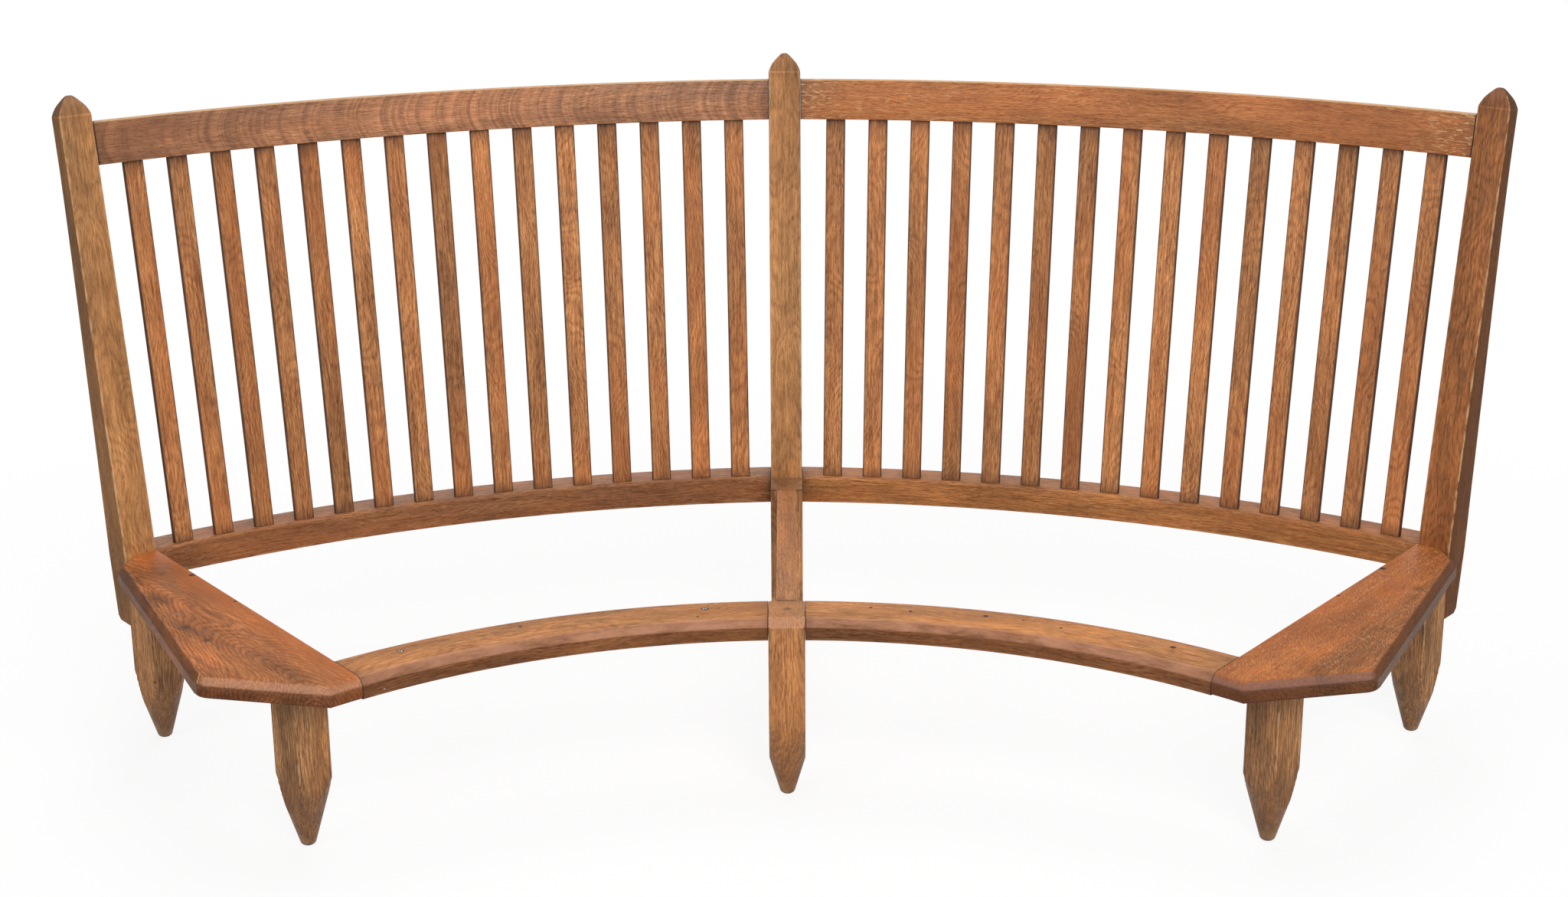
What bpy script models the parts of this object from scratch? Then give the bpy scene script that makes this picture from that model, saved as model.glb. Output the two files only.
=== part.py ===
"""Curved slatted bench frame in oiled oak, made of separate jointed pieces.

The bench curves round a centre that lies in front of it. Two back halves run from a
centre post to two end posts, each with a top rail, a lower rail and fifteen slats.
Two front rails, a centre stretcher and two end boards make the seat frame, which
stands on six square legs with pencil-point feet.

Metres, +Z up, +X to the viewer's right, +Y to the back. Plan angles are measured from
+Y towards +X round the arc's centre.
"""

import math

import bmesh
import bpy
from mathutils import Matrix, Vector

# Clearance between two pieces that touch
FIT = 0.0003

# Seat frame
SEAT_HEIGHT = 0.277
BACK_RADIUS = 1.500
FRONT_RADIUS = 0.8705
END_ANGLE = math.radians(39.83)

# Back: lean, and how far the middle of each half sits inside the seat circle
RAKE = math.radians(7.8)
HALF_FLATTENING = 0.010

# Posts
POST_WIDTH = 0.050
POST_SEAT_DEPTH = 0.058
POST_TOP_DEPTH = 0.028
POST_SHOULDER = 0.650
POST_DROP = 0.109
POST_EDGE = 0.0020
POST_FOOT_CHAMFER = 0.006
FINIAL_HEIGHT = 0.033
FINIAL_KNEE = (0.77, 0.39)
FINIAL_FLAT = 0.0035
FINIAL_EDGE = 0.0015

# Swept back of a post: share of its height above the seat, share of the taper still to go
POST_SWEEP = ((0.0, 1.0), (0.43, 0.47), (0.74, 0.10), (0.88, 0.0))

# Top rails
TOP_RAIL_START = 0.576
TOP_RAIL_HEIGHT = 0.063
TOP_RAIL_THICKNESS = 0.030
TOP_RAIL_SET_BACK = 0.0015
TOP_RAIL_EDGE = 0.0025

# Lower back rails
BACK_RAIL_HEIGHT = 0.043
BACK_RAIL_DEPTH = 0.056
BACK_RAIL_SET_BACK = 0.0035
BACK_RAIL_EDGE = 0.005

# Slats
SLATS_PER_HALF = 15
SLAT_WIDTH = 0.030
SLAT_THICKNESS = 0.010
SLAT_SET_BACK = 0.0115
SLAT_EDGE = 0.0025
SLAT_TENON_WIDTH = 0.024
SLAT_TENON_THICKNESS = 0.007
SLAT_TENON_LENGTH = 0.014

# Front rails
FRONT_RAIL_DEPTH = 0.076
FRONT_RAIL_HEIGHT = 0.030
FRONT_RAIL_CHAMFER = 0.010

# Legs
LEG_WIDTH = 0.051
LEG_DEPTH = 0.066
CENTRE_FRONT_LEG_DEPTH = FRONT_RAIL_DEPTH
CENTRE_REAR_LEG_DEPTH = 0.061
CENTRE_LEG_CHAMFER = 0.012
LEG_EDGE = 0.0015
REAR_LEG_LAP_STEP = 0.0104
FOOT_TIP_RADIUS = 0.0095
FOOT_TIP_ROUND = 0.0035
FOOT_SLOPE = 0.295
FOOT_SIDES = 32
LEG_TENON = 0.026
LEG_TENON_HEIGHT = 0.015
FRONT_LEG_SET_BACK = 0.1275
FRONT_LEG_RADIUS = FRONT_RADIUS + FRONT_LEG_SET_BACK
FRONT_LEG_ANGLE = math.radians(41.0)

# End boards and the side frames beneath them; plan points are offsets from a corner leg's centre
REAR_LEG_SHIFT = 0.0064
BOARD_THICKNESS = 0.030
BOARD_INNER_EDGE = 0.0302
BOARD_FRONT_OUTER = (0.1387, 0.0132)
BOARD_BACK_OUTER = (0.0449, 0.0151)
BOARD_TURN_ANGLE = math.radians(42.6)
BOARD_CORNER_RADIUS = 0.028
BOARD_CHAMFER = 0.010
BOARD_UNDER_BEVEL = 0.004
SIDE_RAIL_THICKNESS = 0.025
SIDE_RAIL_HEIGHT = 0.055

# Stretcher
STRETCHER_WIDTH = 0.030
STRETCHER_HEIGHT = 0.045
STRETCHER_EDGE = 0.002

# Rail tenons: length into the mortise, and the two sizes of the section
RAIL_TENON_LENGTH = 0.018
TOP_TENON = (0.012, 0.040)
BACK_TENON = (0.030, 0.024)
FRONT_TENON = (0.044, 0.011)
SIDE_TENON = (0.010, 0.035)
STRETCHER_TENON = (0.014, 0.030)

# Steps of each curved rail, and how far it runs on before its ends are trimmed
RAIL_STEPS = 20
RAIL_OVERRUN = math.radians(1.5)

WOOD = (0.36, 0.17, 0.08)
WOOD_ROUGHNESS = 0.45

MIRROR_X = Matrix.Scale(-1.0, 4, Vector((1.0, 0.0, 0.0)))

# Takes an outline drawn as (outward, up) to Y and Z, with its thickness along X
UPRIGHT = Matrix(((0.0, 0.0, 1.0, 0.0), (1.0, 0.0, 0.0, 0.0), (0.0, 1.0, 0.0, 0.0), (0.0, 0.0, 0.0, 1.0)))


# Scene and objects

def clear_scene():
    """Removes what the file opened with."""
    for item in list(bpy.data.objects):
        bpy.data.objects.remove(item, do_unlink=True)


def make_collection(name):
    """Adds a collection to the scene."""
    collection = bpy.data.collections.new(name)
    bpy.context.scene.collection.children.link(collection)
    return collection


def wood_material(name, tint):
    """Oiled oak, a little lighter or darker from piece to piece."""
    material = bpy.data.materials.new(name)
    material.use_nodes = True
    shader = material.node_tree.nodes["Principled BSDF"]
    shader.inputs["Base Color"].default_value = tuple(c * tint for c in WOOD) + (1.0,)
    shader.inputs["Roughness"].default_value = WOOD_ROUGHNESS
    shader.inputs["Metallic"].default_value = 0.0
    return material


def add_object(name, mesh, collection, matrix):
    """Links a mesh as an object under the bench's frame."""
    item = bpy.data.objects.new(name, mesh)
    collection.objects.link(item)
    item.parent = FRAME
    item.matrix_local = matrix
    return item


def add_part(name, mesh, matrix=Matrix.Identity(4), tint=1.0):
    """A piece of the bench, with a material of its own."""
    mesh.materials.clear()
    mesh.materials.append(wood_material(name + "_oak", tint))
    return add_object(name, mesh, PARTS, matrix)


def add_tool(name, mesh, matrix=Matrix.Identity(4)):
    """A cutter, or a tenon that is joined to a rail."""
    item = add_object(name, mesh, CUTTERS, matrix)
    item.hide_render = True
    item.display_type = "WIRE"
    return item


def mesh_from(bm, name):
    """Turns a bmesh into a mesh whose faces point out."""
    bmesh.ops.recalc_face_normals(bm, faces=bm.faces)
    mesh = bpy.data.meshes.new(name)
    bm.to_mesh(mesh)
    bm.free()
    return mesh


def boolean(item, tool, operation):
    """Cuts or joins a piece with a tool object."""
    modifier = item.modifiers.new(tool.name, "BOOLEAN")
    modifier.operation = operation
    modifier.solver = "EXACT"
    modifier.object = tool


def evaluated_mesh(item, name):
    """The mesh of a piece with its modifiers applied."""
    bpy.context.view_layer.update()
    graph = bpy.context.evaluated_depsgraph_get()
    mesh = bpy.data.meshes.new_from_object(item.evaluated_get(graph))
    mesh.name = name
    return mesh


def mirrored(item, name, tint=1.0):
    """The left piece that matches a right one."""
    mesh = evaluated_mesh(item, name)
    mesh.transform(MIRROR_X)
    mesh.flip_normals()
    return add_part(name, mesh, MIRROR_X @ item.matrix_local @ MIRROR_X, tint)


# Plan geometry

def arc_frame(angle, radius=0.0, tangent=0.0, height=0.0):
    """X along the arc, Y away from its centre, Z up."""
    turn = Matrix.Rotation(-angle, 4, "Z")
    return turn @ Matrix.Translation((tangent, radius, height))


def rake_frame(angle, radius, height, centre=(0.0, 0.0)):
    """An arc frame on the seat plane that leans back with the posts and slats."""
    place = Matrix.Translation((centre[0], centre[1], 0.0))
    return place @ arc_frame(angle, radius, 0.0, height) @ Matrix.Rotation(-RAKE, 4, "X")


def half_arc():
    """Centre, radius and end angles of the flatter arc through a centre and an end post."""
    middle = 0.5 * END_ANGLE
    half_chord = BACK_RADIUS * math.sin(middle)
    sagitta = BACK_RADIUS * (1.0 - math.cos(middle)) - HALF_FLATTENING
    radius = (half_chord ** 2 + sagitta ** 2) / (2.0 * sagitta)
    reach = BACK_RADIUS * math.cos(middle) - (radius - sagitta)
    centre = (reach * math.sin(middle), reach * math.cos(middle))
    spread = math.asin(half_chord / radius)
    return centre, radius, middle - spread, middle + spread


def front_corner():
    """Where the right front corner leg stands."""
    return arc_frame(FRONT_LEG_ANGLE, FRONT_LEG_RADIUS)


def rear_corner():
    """Where the right rear corner leg stands, with the end post lapped behind it."""
    return arc_frame(END_ANGLE, BACK_RADIUS - REAR_LEG_LAP_STEP - FIT - 0.5 * LEG_DEPTH, REAR_LEG_SHIFT)


def side_line():
    """Turn and length of the line from the front corner leg to the rear one."""
    run = rear_corner().translation - front_corner().translation
    return math.atan2(run.x, run.y), run.length


def side_frame():
    """Origin at the front corner leg, Y towards the rear one, X outward."""
    return Matrix.Translation(front_corner().translation) @ Matrix.Rotation(-side_line()[0], 4, "Z")


# Mesh makers

def box_bmesh(low, high):
    """A box between two corners."""
    bm = bmesh.new()
    size = [b - a for a, b in zip(low, high)]
    middle = [0.5 * (a + b) for a, b in zip(low, high)]
    place = Matrix.Translation(middle) @ Matrix.Diagonal((*size, 1.0))
    bmesh.ops.create_cube(bm, size=1.0, matrix=place)
    return bm


def box_mesh(name, low, high):
    """A box between two corners, as a mesh."""
    return mesh_from(box_bmesh(low, high), name)


def outline_bmesh(name, points, thickness, matrix):
    """A flat closed outline given thickness on both sides of its plane."""
    curve = bpy.data.curves.new(name, "CURVE")
    curve.dimensions = "2D"
    curve.fill_mode = "BOTH"
    curve.extrude = 0.5 * thickness
    spline = curve.splines.new("POLY")
    spline.points.add(len(points) - 1)
    for target, point in zip(spline.points, points):
        target.co = (point[0], point[1], 0.0, 1.0)
    spline.use_cyclic_u = True
    item = add_object(name, curve, CUTTERS, Matrix.Identity(4))
    mesh = evaluated_mesh(item, name)
    bpy.data.objects.remove(item, do_unlink=True)
    bm = bmesh.new()
    bm.from_mesh(mesh)
    bmesh.ops.remove_doubles(bm, verts=bm.verts, dist=0.00001)
    bmesh.ops.dissolve_limit(bm, angle_limit=math.radians(0.5), verts=bm.verts, edges=bm.edges)
    bmesh.ops.transform(bm, matrix=matrix, verts=bm.verts)
    bmesh.ops.recalc_face_normals(bm, faces=bm.faces)
    return bm


def bevel_edges(bm, test, width, segments=1):
    """Bevels the edges that a test on their two ends picks."""
    bm.edges.ensure_lookup_table()
    chosen = [e for e in bm.edges if test(e.verts[0].co, e.verts[1].co) and not e.is_boundary]
    bmesh.ops.bevel(bm, geom=chosen, offset=width, segments=segments, profile=0.5,
                    affect="EDGES", clamp_overlap=True)


def trim(bm, point, normal):
    """Cuts off what lies on the normal's side of a plane and closes the cut."""
    geometry = bm.verts[:] + bm.edges[:] + bm.faces[:]
    result = bmesh.ops.bisect_plane(bm, geom=geometry, dist=1e-6, plane_co=point,
                                    plane_no=normal, clear_outer=True)
    edges = [e for e in result["geom_cut"] if isinstance(e, bmesh.types.BMEdge)]
    bmesh.ops.contextual_create(bm, geom=edges)


def turned_mesh(name, points, angle, steps, closed):
    """Turns a wire profile round the Z axis with a Screw modifier."""
    edges = [(i, i + 1) for i in range(len(points) - 1)]
    if closed:
        edges.append((len(points) - 1, 0))
    wire = bpy.data.meshes.new(name)
    wire.from_pydata([tuple(point) for point in points], edges, [])
    item = add_tool(name + "_profile", wire)
    screw = item.modifiers.new("turn", "SCREW")
    screw.axis = "Z"
    screw.angle = angle
    screw.steps = steps
    screw.render_steps = steps
    screw.use_merge_vertices = not closed
    screw.merge_threshold = 0.00001
    turned = evaluated_mesh(item, name)
    bpy.data.objects.remove(item, do_unlink=True)
    return turned


def curved_rail(name, profile, centre, start, end, planes):
    """Turns an (outward, up) profile along an arc and trims its two ends."""
    last = Matrix.Rotation(-(end + RAIL_OVERRUN), 4, "Z")
    points = [last @ Vector((0.0, out, up)) for out, up in profile]
    bm = bmesh.new()
    bm.from_mesh(turned_mesh(name, points, end - start + 2.0 * RAIL_OVERRUN, RAIL_STEPS, True))
    bmesh.ops.translate(bm, verts=bm.verts, vec=(centre[0], centre[1], 0.0))
    bmesh.ops.recalc_face_normals(bm, faces=bm.faces)
    for point, normal in planes:
        trim(bm, point, normal)
    return mesh_from(bm, name)


def chamfered(profile, widths):
    """An outline whose corners are cut back by their own widths."""
    result = []
    count = len(profile)
    for index, width in enumerate(widths):
        corner = Vector(profile[index])
        if width == 0.0:
            result.append(tuple(corner))
            continue
        before = Vector(profile[index - 1])
        after = Vector(profile[(index + 1) % count])
        result.append(tuple(corner + (before - corner).normalized() * width))
        result.append(tuple(corner + (after - corner).normalized() * width))
    return result


# Mortise and tenon joints

def tenon_joint(rail, post, name, matrix, section, length=RAIL_TENON_LENGTH):
    """A tenon along the frame's X, joined to the rail and let into the post.

    The frame's origin lies on the post's face, with X pointing into the post.
    """
    across, up = (0.5 * section[0], 0.5 * section[1])
    root = 0.012
    tongue = box_mesh(name + "_tenon", (-root, -across, -up), (length, across, up))
    boolean(rail, add_tool(name + "_tenon", tongue, matrix), "UNION")
    hollow = box_mesh(name + "_mortise", (-root, -across - FIT, -up - FIT),
                      (length + FIT, across + FIT, up + FIT))
    boolean(post, add_tool(name + "_mortise", hollow, matrix), "DIFFERENCE")


# Posts

def make_post(name, angle, lap_radius, step_height, tint):
    """A post that leans above the seat, tapers up to a finial and laps behind a leg."""
    seat = SEAT_HEIGHT
    foot = seat - POST_DROP
    lean = math.tan(RAKE)
    cos, sin = math.cos(RAKE), math.sin(RAKE)
    apex = POST_SHOULDER + FINIAL_HEIGHT
    top = rake_frame(0.0, BACK_RADIUS, seat)
    front_top = top @ Vector((0.0, 0.0, apex))
    rear_top = top @ Vector((0.0, POST_TOP_DEPTH, apex))
    rear = []
    for share, taper in reversed(POST_SWEEP):
        depth = POST_TOP_DEPTH + taper * (POST_SEAT_DEPTH - POST_TOP_DEPTH)
        rear.append(top @ Vector((0.0, depth, share * POST_SHOULDER)))
    rear_foot = rear[-1].y - (rear[-1].z - foot) * lean
    profile = [(lap_radius, foot)]
    if BACK_RADIUS - lap_radius > 0.001:
        profile += [(lap_radius, step_height), (BACK_RADIUS, step_height)]
    profile += [(BACK_RADIUS, seat), front_top.yz, rear_top.yz]
    profile += [point.yz for point in rear]
    profile += [(rear_foot + POST_FOOT_CHAMFER * lean, foot + POST_FOOT_CHAMFER),
                (rear_foot - POST_FOOT_CHAMFER, foot)]
    bm = outline_bmesh(name + "_side", profile, POST_WIDTH, UPRIGHT)
    knee_out, knee_up = FINIAL_KNEE
    rise = knee_up * FINIAL_HEIGHT
    for half, axis in ((0.5 * POST_WIDTH, Vector((1.0, 0.0, 0.0))),
                       (0.5 * POST_TOP_DEPTH, Vector((0.0, 1.0, 0.0)))):
        for away in (axis, -axis):
            knee = top @ (Vector((0.0, 0.5 * POST_TOP_DEPTH, POST_SHOULDER + rise))
                          + away * knee_out * half)
            steep = away * rise + Vector((0.0, 0.0, (1.0 - knee_out) * half))
            shallow = away * (FINIAL_HEIGHT - rise) + Vector((0.0, 0.0, knee_out * half))
            trim(bm, knee, top.to_3x3() @ steep)
            trim(bm, knee, top.to_3x3() @ shallow)
    trim(bm, top @ Vector((0.0, 0.0, apex - FINIAL_FLAT)), top.to_3x3() @ Vector((0.0, 0.0, 1.0)))
    shoulder = seat + POST_SHOULDER * cos - 0.012
    half = 0.5 * POST_WIDTH - 1e-5
    bevel_edges(bm, lambda a, b: min(a.z, b.z) > shoulder, FINIAL_EDGE, 2)
    bevel_edges(bm, lambda a, b: (abs(a.x) > half and abs(b.x) > half and a.x * b.x > 0.0
                                  and abs(a.z - b.z) > 0.03), POST_EDGE)
    return add_part(name, mesh_from(bm, name), arc_frame(angle), tint)


# Legs

def foot_cutter():
    """The turned shape that points the foot of every leg."""
    top = 2.0 * SEAT_HEIGHT
    side = FOOT_TIP_RADIUS + FOOT_SLOPE * FOOT_TIP_ROUND
    profile = [(0.0, top), (FOOT_TIP_RADIUS + FOOT_SLOPE * top, top), (side, FOOT_TIP_ROUND),
               (FOOT_TIP_RADIUS - FOOT_TIP_ROUND, 0.0), (0.0, 0.0)]
    points = [(radius, 0.0, height) for radius, height in profile]
    bm = bmesh.new()
    bm.from_mesh(turned_mesh("foot_point", points, 2.0 * math.pi, FOOT_SIDES, False))
    return mesh_from(bm, "foot_point")


def make_leg(name, place, depth, height, tint, chamfer=0.0, tenon=False):
    """A square-edged leg with a pencil-point foot; its Y points away from the arc's centre."""
    half, deep = 0.5 * LEG_WIDTH, 0.5 * depth
    bm = box_bmesh((-half, -deep, 0.0), (half, deep, height))
    bevel_edges(bm, lambda a, b: abs(a.z - b.z) > 0.5 * height, LEG_EDGE)
    if chamfer > 0.0:
        front_top = lambda a, b: (min(a.z, b.z) > height - 1e-5 and max(a.y, b.y) < -deep + 1e-5)
        bevel_edges(bm, front_top, chamfer)
    leg = add_part(name, mesh_from(bm, name), place, tint)
    boolean(leg, add_tool(name + "_point", FOOT_POINT, place), "INTERSECT")
    if tenon:
        stub = 0.5 * LEG_TENON
        tongue = box_mesh(name + "_stub", (-stub, -stub, height - 0.02), (stub, stub, height + LEG_TENON_HEIGHT))
        boolean(leg, add_tool(name + "_stub", tongue, place), "UNION")
    return leg


# Back

def make_slat_mesh():
    """One slat with a tenon at each end; all thirty share it."""
    frame = rake_frame(0.0, BACK_RADIUS, SEAT_HEIGHT)
    top = TOP_RAIL_START - FIT
    near, far = SLAT_SET_BACK, SLAT_SET_BACK + SLAT_THICKNESS
    half = 0.5 * SLAT_WIDTH
    bm = box_bmesh((-half, near, -0.02), (half, far, top))
    bevel_edges(bm, lambda a, b: abs(a.z - b.z) > 0.1, SLAT_EDGE, 2)
    lean_back = frame.inverted()
    trim(bm, lean_back @ Vector((0.0, BACK_RADIUS, SEAT_HEIGHT + FIT)),
         lean_back.to_3x3() @ Vector((0.0, 0.0, -1.0)))
    slat = add_tool("slat_body", mesh_from(bm, "slat_body"))
    middle = 0.5 * (near + far)
    wide, thick = 0.5 * SLAT_TENON_WIDTH, 0.5 * SLAT_TENON_THICKNESS
    tongue = box_mesh("slat_tongue", (-wide, middle - thick, -SLAT_TENON_LENGTH),
                      (wide, middle + thick, top + SLAT_TENON_LENGTH))
    tool = add_tool("slat_tongue", tongue)
    boolean(slat, tool, "UNION")
    mesh = evaluated_mesh(slat, "slat")
    bpy.data.objects.remove(slat, do_unlink=True)
    bpy.data.objects.remove(tool, do_unlink=True)
    return mesh


def slat_mortises(name, angles, centre, radius, low, high):
    """Mortises for the slat tenons of one rail, as one cutter of separate boxes."""
    wide = 0.5 * SLAT_TENON_WIDTH + FIT
    thick = 0.5 * SLAT_TENON_THICKNESS + FIT
    middle = SLAT_SET_BACK + 0.5 * SLAT_THICKNESS
    bm = bmesh.new()
    for angle in angles:
        frame = rake_frame(angle, radius, SEAT_HEIGHT, centre)
        place = frame @ Matrix.Translation((0.0, middle, 0.5 * (low + high)))
        size = Matrix.Diagonal((2.0 * wide, 2.0 * thick, high - low, 1.0))
        bmesh.ops.create_cube(bm, size=1.0, matrix=place @ size)
    return add_tool(name, mesh_from(bm, name))


def slat_angles(radius, start, end):
    """Equal gaps between the posts and the slats of one half."""
    post_half = 0.5 * POST_WIDTH / radius
    slat_turn = SLAT_WIDTH / radius
    clear = (end - start) - 2.0 * post_half - SLATS_PER_HALF * slat_turn
    gap = clear / (SLATS_PER_HALF + 1)
    first = start + post_half + gap + 0.5 * slat_turn
    return [first + index * (gap + slat_turn) for index in range(SLATS_PER_HALF)]


def end_plane():
    """The inner side of the right end post, where the back rails stop."""
    point = arc_frame(END_ANGLE, 0.0, -0.5 * POST_WIDTH - FIT).translation
    return point, arc_frame(END_ANGLE).to_3x3() @ Vector((1.0, 0.0, 0.0))


def make_back(centre_post, end_post):
    """Right half of the back, then its mirror image."""
    centre, radius, start, end = half_arc()
    cos, sin = math.cos(RAKE), math.sin(RAKE)
    start_plane = (Vector((0.5 * POST_WIDTH + FIT, 0.0, 0.0)), Vector((-1.0, 0.0, 0.0)))
    planes = [start_plane, end_plane()]

    near, far = TOP_RAIL_SET_BACK, TOP_RAIL_SET_BACK + TOP_RAIL_THICKNESS
    low, high = TOP_RAIL_START, TOP_RAIL_START + TOP_RAIL_HEIGHT
    leaned = chamfered([(near, low), (near, high), (far, high), (far, low)],
                       [TOP_RAIL_EDGE, TOP_RAIL_EDGE, TOP_RAIL_EDGE, 0.0])
    profile = [(radius + y * cos + z * sin, SEAT_HEIGHT - y * sin + z * cos) for y, z in leaned]
    top_rail = add_part("top_rail_right", curved_rail("top_rail_right", profile, centre, start, end, planes),
                        tint=0.92)

    near, far = radius + BACK_RAIL_SET_BACK, radius + BACK_RAIL_SET_BACK + BACK_RAIL_DEPTH
    low, high = SEAT_HEIGHT - BACK_RAIL_HEIGHT, SEAT_HEIGHT
    profile = chamfered([(near, low), (near, high), (far, high), (far, low)],
                        [0.0, BACK_RAIL_EDGE, 0.5 * BACK_RAIL_EDGE, 0.0])
    back_rail = add_part("back_rail_right", curved_rail("back_rail_right", profile, centre, start, end, planes),
                         tint=0.95)

    angles = slat_angles(radius, start, end)
    boolean(top_rail, slat_mortises("top_mortises", angles, centre, radius, TOP_RAIL_START - 0.01,
                                    TOP_RAIL_START + SLAT_TENON_LENGTH + FIT), "DIFFERENCE")
    boolean(back_rail, slat_mortises("back_mortises", angles, centre, radius,
                                     -SLAT_TENON_LENGTH - FIT, 0.01), "DIFFERENCE")

    top_middle = (TOP_RAIL_SET_BACK + 0.5 * TOP_RAIL_THICKNESS, TOP_RAIL_START + 0.5 * TOP_RAIL_HEIGHT)
    back_middle = (BACK_RADIUS + BACK_RAIL_SET_BACK + 0.5 * BACK_RAIL_DEPTH,
                   SEAT_HEIGHT - 0.5 * BACK_RAIL_HEIGHT)
    half = 0.5 * POST_WIDTH
    for post, angle, into in ((centre_post, 0.0, -1.0), (end_post, END_ANGLE, 1.0)):
        turn = Matrix.Rotation(0.0 if into > 0.0 else math.pi, 4, "Z")
        side = -into * half
        lean = rake_frame(angle, BACK_RADIUS, SEAT_HEIGHT)
        top_place = lean @ Matrix.Translation((side, *top_middle)) @ turn
        tenon_joint(top_rail, post, f"top_rail_{post.name}", top_place, TOP_TENON)
        back_place = arc_frame(angle, back_middle[0], side, back_middle[1]) @ turn
        tenon_joint(back_rail, post, f"back_rail_{post.name}", back_place, BACK_TENON)

    slat = make_slat_mesh()
    for index, angle in enumerate(angles, start=1):
        frame = rake_frame(angle, radius, SEAT_HEIGHT, centre)
        for side, label in ((1, "right"), (-1, "left")):
            tint = 0.9 + 0.05 * ((7 * index + side) % 5)
            place = frame if side > 0 else MIRROR_X @ frame @ MIRROR_X
            add_part(f"slat_{label}_{index:02d}", slat.copy(), place, tint)
    return top_rail, back_rail


# Seat frame

def board_outline():
    """Plan points of the right end board, anticlockwise from the post's inner corner."""
    side = side_frame()
    to_side = side.inverted()
    inner = -BOARD_INNER_EDGE
    back = BACK_RADIUS - FIT
    post_out = arc_frame(END_ANGLE, back, 0.5 * POST_WIDTH).translation
    post_direction = arc_frame(END_ANGLE).to_3x3() @ Vector((1.0, 0.0, 0.0))
    local_out = to_side @ post_out
    local_direction = to_side.to_3x3() @ post_direction
    post_in = local_out + local_direction * ((inner - local_out.x) / local_direction.x)
    centre_local = to_side @ Vector((0.0, 0.0, 0.0))
    reach = math.sqrt(FRONT_RADIUS ** 2 - (inner - centre_local.x) ** 2)
    joint_y = centre_local.y + reach
    joint_point = side @ Vector((inner, joint_y, 0.0))
    joint_angle = math.atan2(joint_point.x, joint_point.y)
    steps = 4
    arc = []
    for step in range(steps + 1):
        angle = joint_angle + (BOARD_TURN_ANGLE - joint_angle) * step / steps
        arc.append(to_side @ arc_frame(angle, FRONT_RADIUS).translation)
    front = Vector((*BOARD_FRONT_OUTER, 0.0))
    back_corner = Vector((BOARD_BACK_OUTER[0], side_line()[1] + BOARD_BACK_OUTER[1], 0.0))
    corner = rounded_corner(arc[-1], front, back_corner, BOARD_CORNER_RADIUS, 5)
    return [post_in, *arc, *corner, back_corner, local_out]


def rounded_corner(before, corner, after, radius, steps):
    """Points of a fillet at a corner between two straight edges."""
    into = (before - corner).normalized()
    out = (after - corner).normalized()
    half = 0.5 * into.angle(out)
    run = radius / math.tan(half)
    middle = corner + (into + out).normalized() * (radius / math.sin(half))
    first = corner + into * run - middle
    last = corner + out * run - middle
    sweep = first.angle(last)
    turn = 1.0 if first.cross(last).z > 0.0 else -1.0
    return [middle + Matrix.Rotation(turn * sweep * i / steps, 3, "Z") @ first for i in range(steps + 1)]


def make_board(end_leg_places):
    """The right end board, with its top chamfer and under-bevel on the open edges."""
    outline = board_outline()
    middle = Matrix.Translation((0.0, 0.0, SEAT_HEIGHT - 0.5 * BOARD_THICKNESS))
    bm = outline_bmesh("board_plan", outline, BOARD_THICKNESS, middle)
    open_points = [Vector((p.x, p.y)) for p in outline[1:-1]]

    def on_open_edge(a, b):
        near_a = any((a.xy - p).length < 1e-4 for p in open_points)
        near_b = any((b.xy - p).length < 1e-4 for p in open_points)
        return near_a and near_b and abs(a.z - b.z) < 1e-6
    top = SEAT_HEIGHT - 1e-5
    bevel_edges(bm, lambda a, b: min(a.z, b.z) > top and on_open_edge(a, b), BOARD_CHAMFER)
    low = SEAT_HEIGHT - BOARD_THICKNESS + 1e-5
    bevel_edges(bm, lambda a, b: max(a.z, b.z) < low and on_open_edge(a, b), BOARD_UNDER_BEVEL)
    board = add_part("end_board_right", mesh_from(bm, "end_board_right"), side_frame(), tint=1.05)
    stub = 0.5 * LEG_TENON + FIT
    floor = SEAT_HEIGHT - BOARD_THICKNESS
    for index, place in enumerate(end_leg_places):
        hollow = box_mesh(f"board_mortise_{index}", (-stub, -stub, floor - 0.01),
                          (stub, stub, floor + LEG_TENON_HEIGHT))
        boolean(board, add_tool(f"board_mortise_{index}", hollow, place), "DIFFERENCE")
    return board


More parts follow.
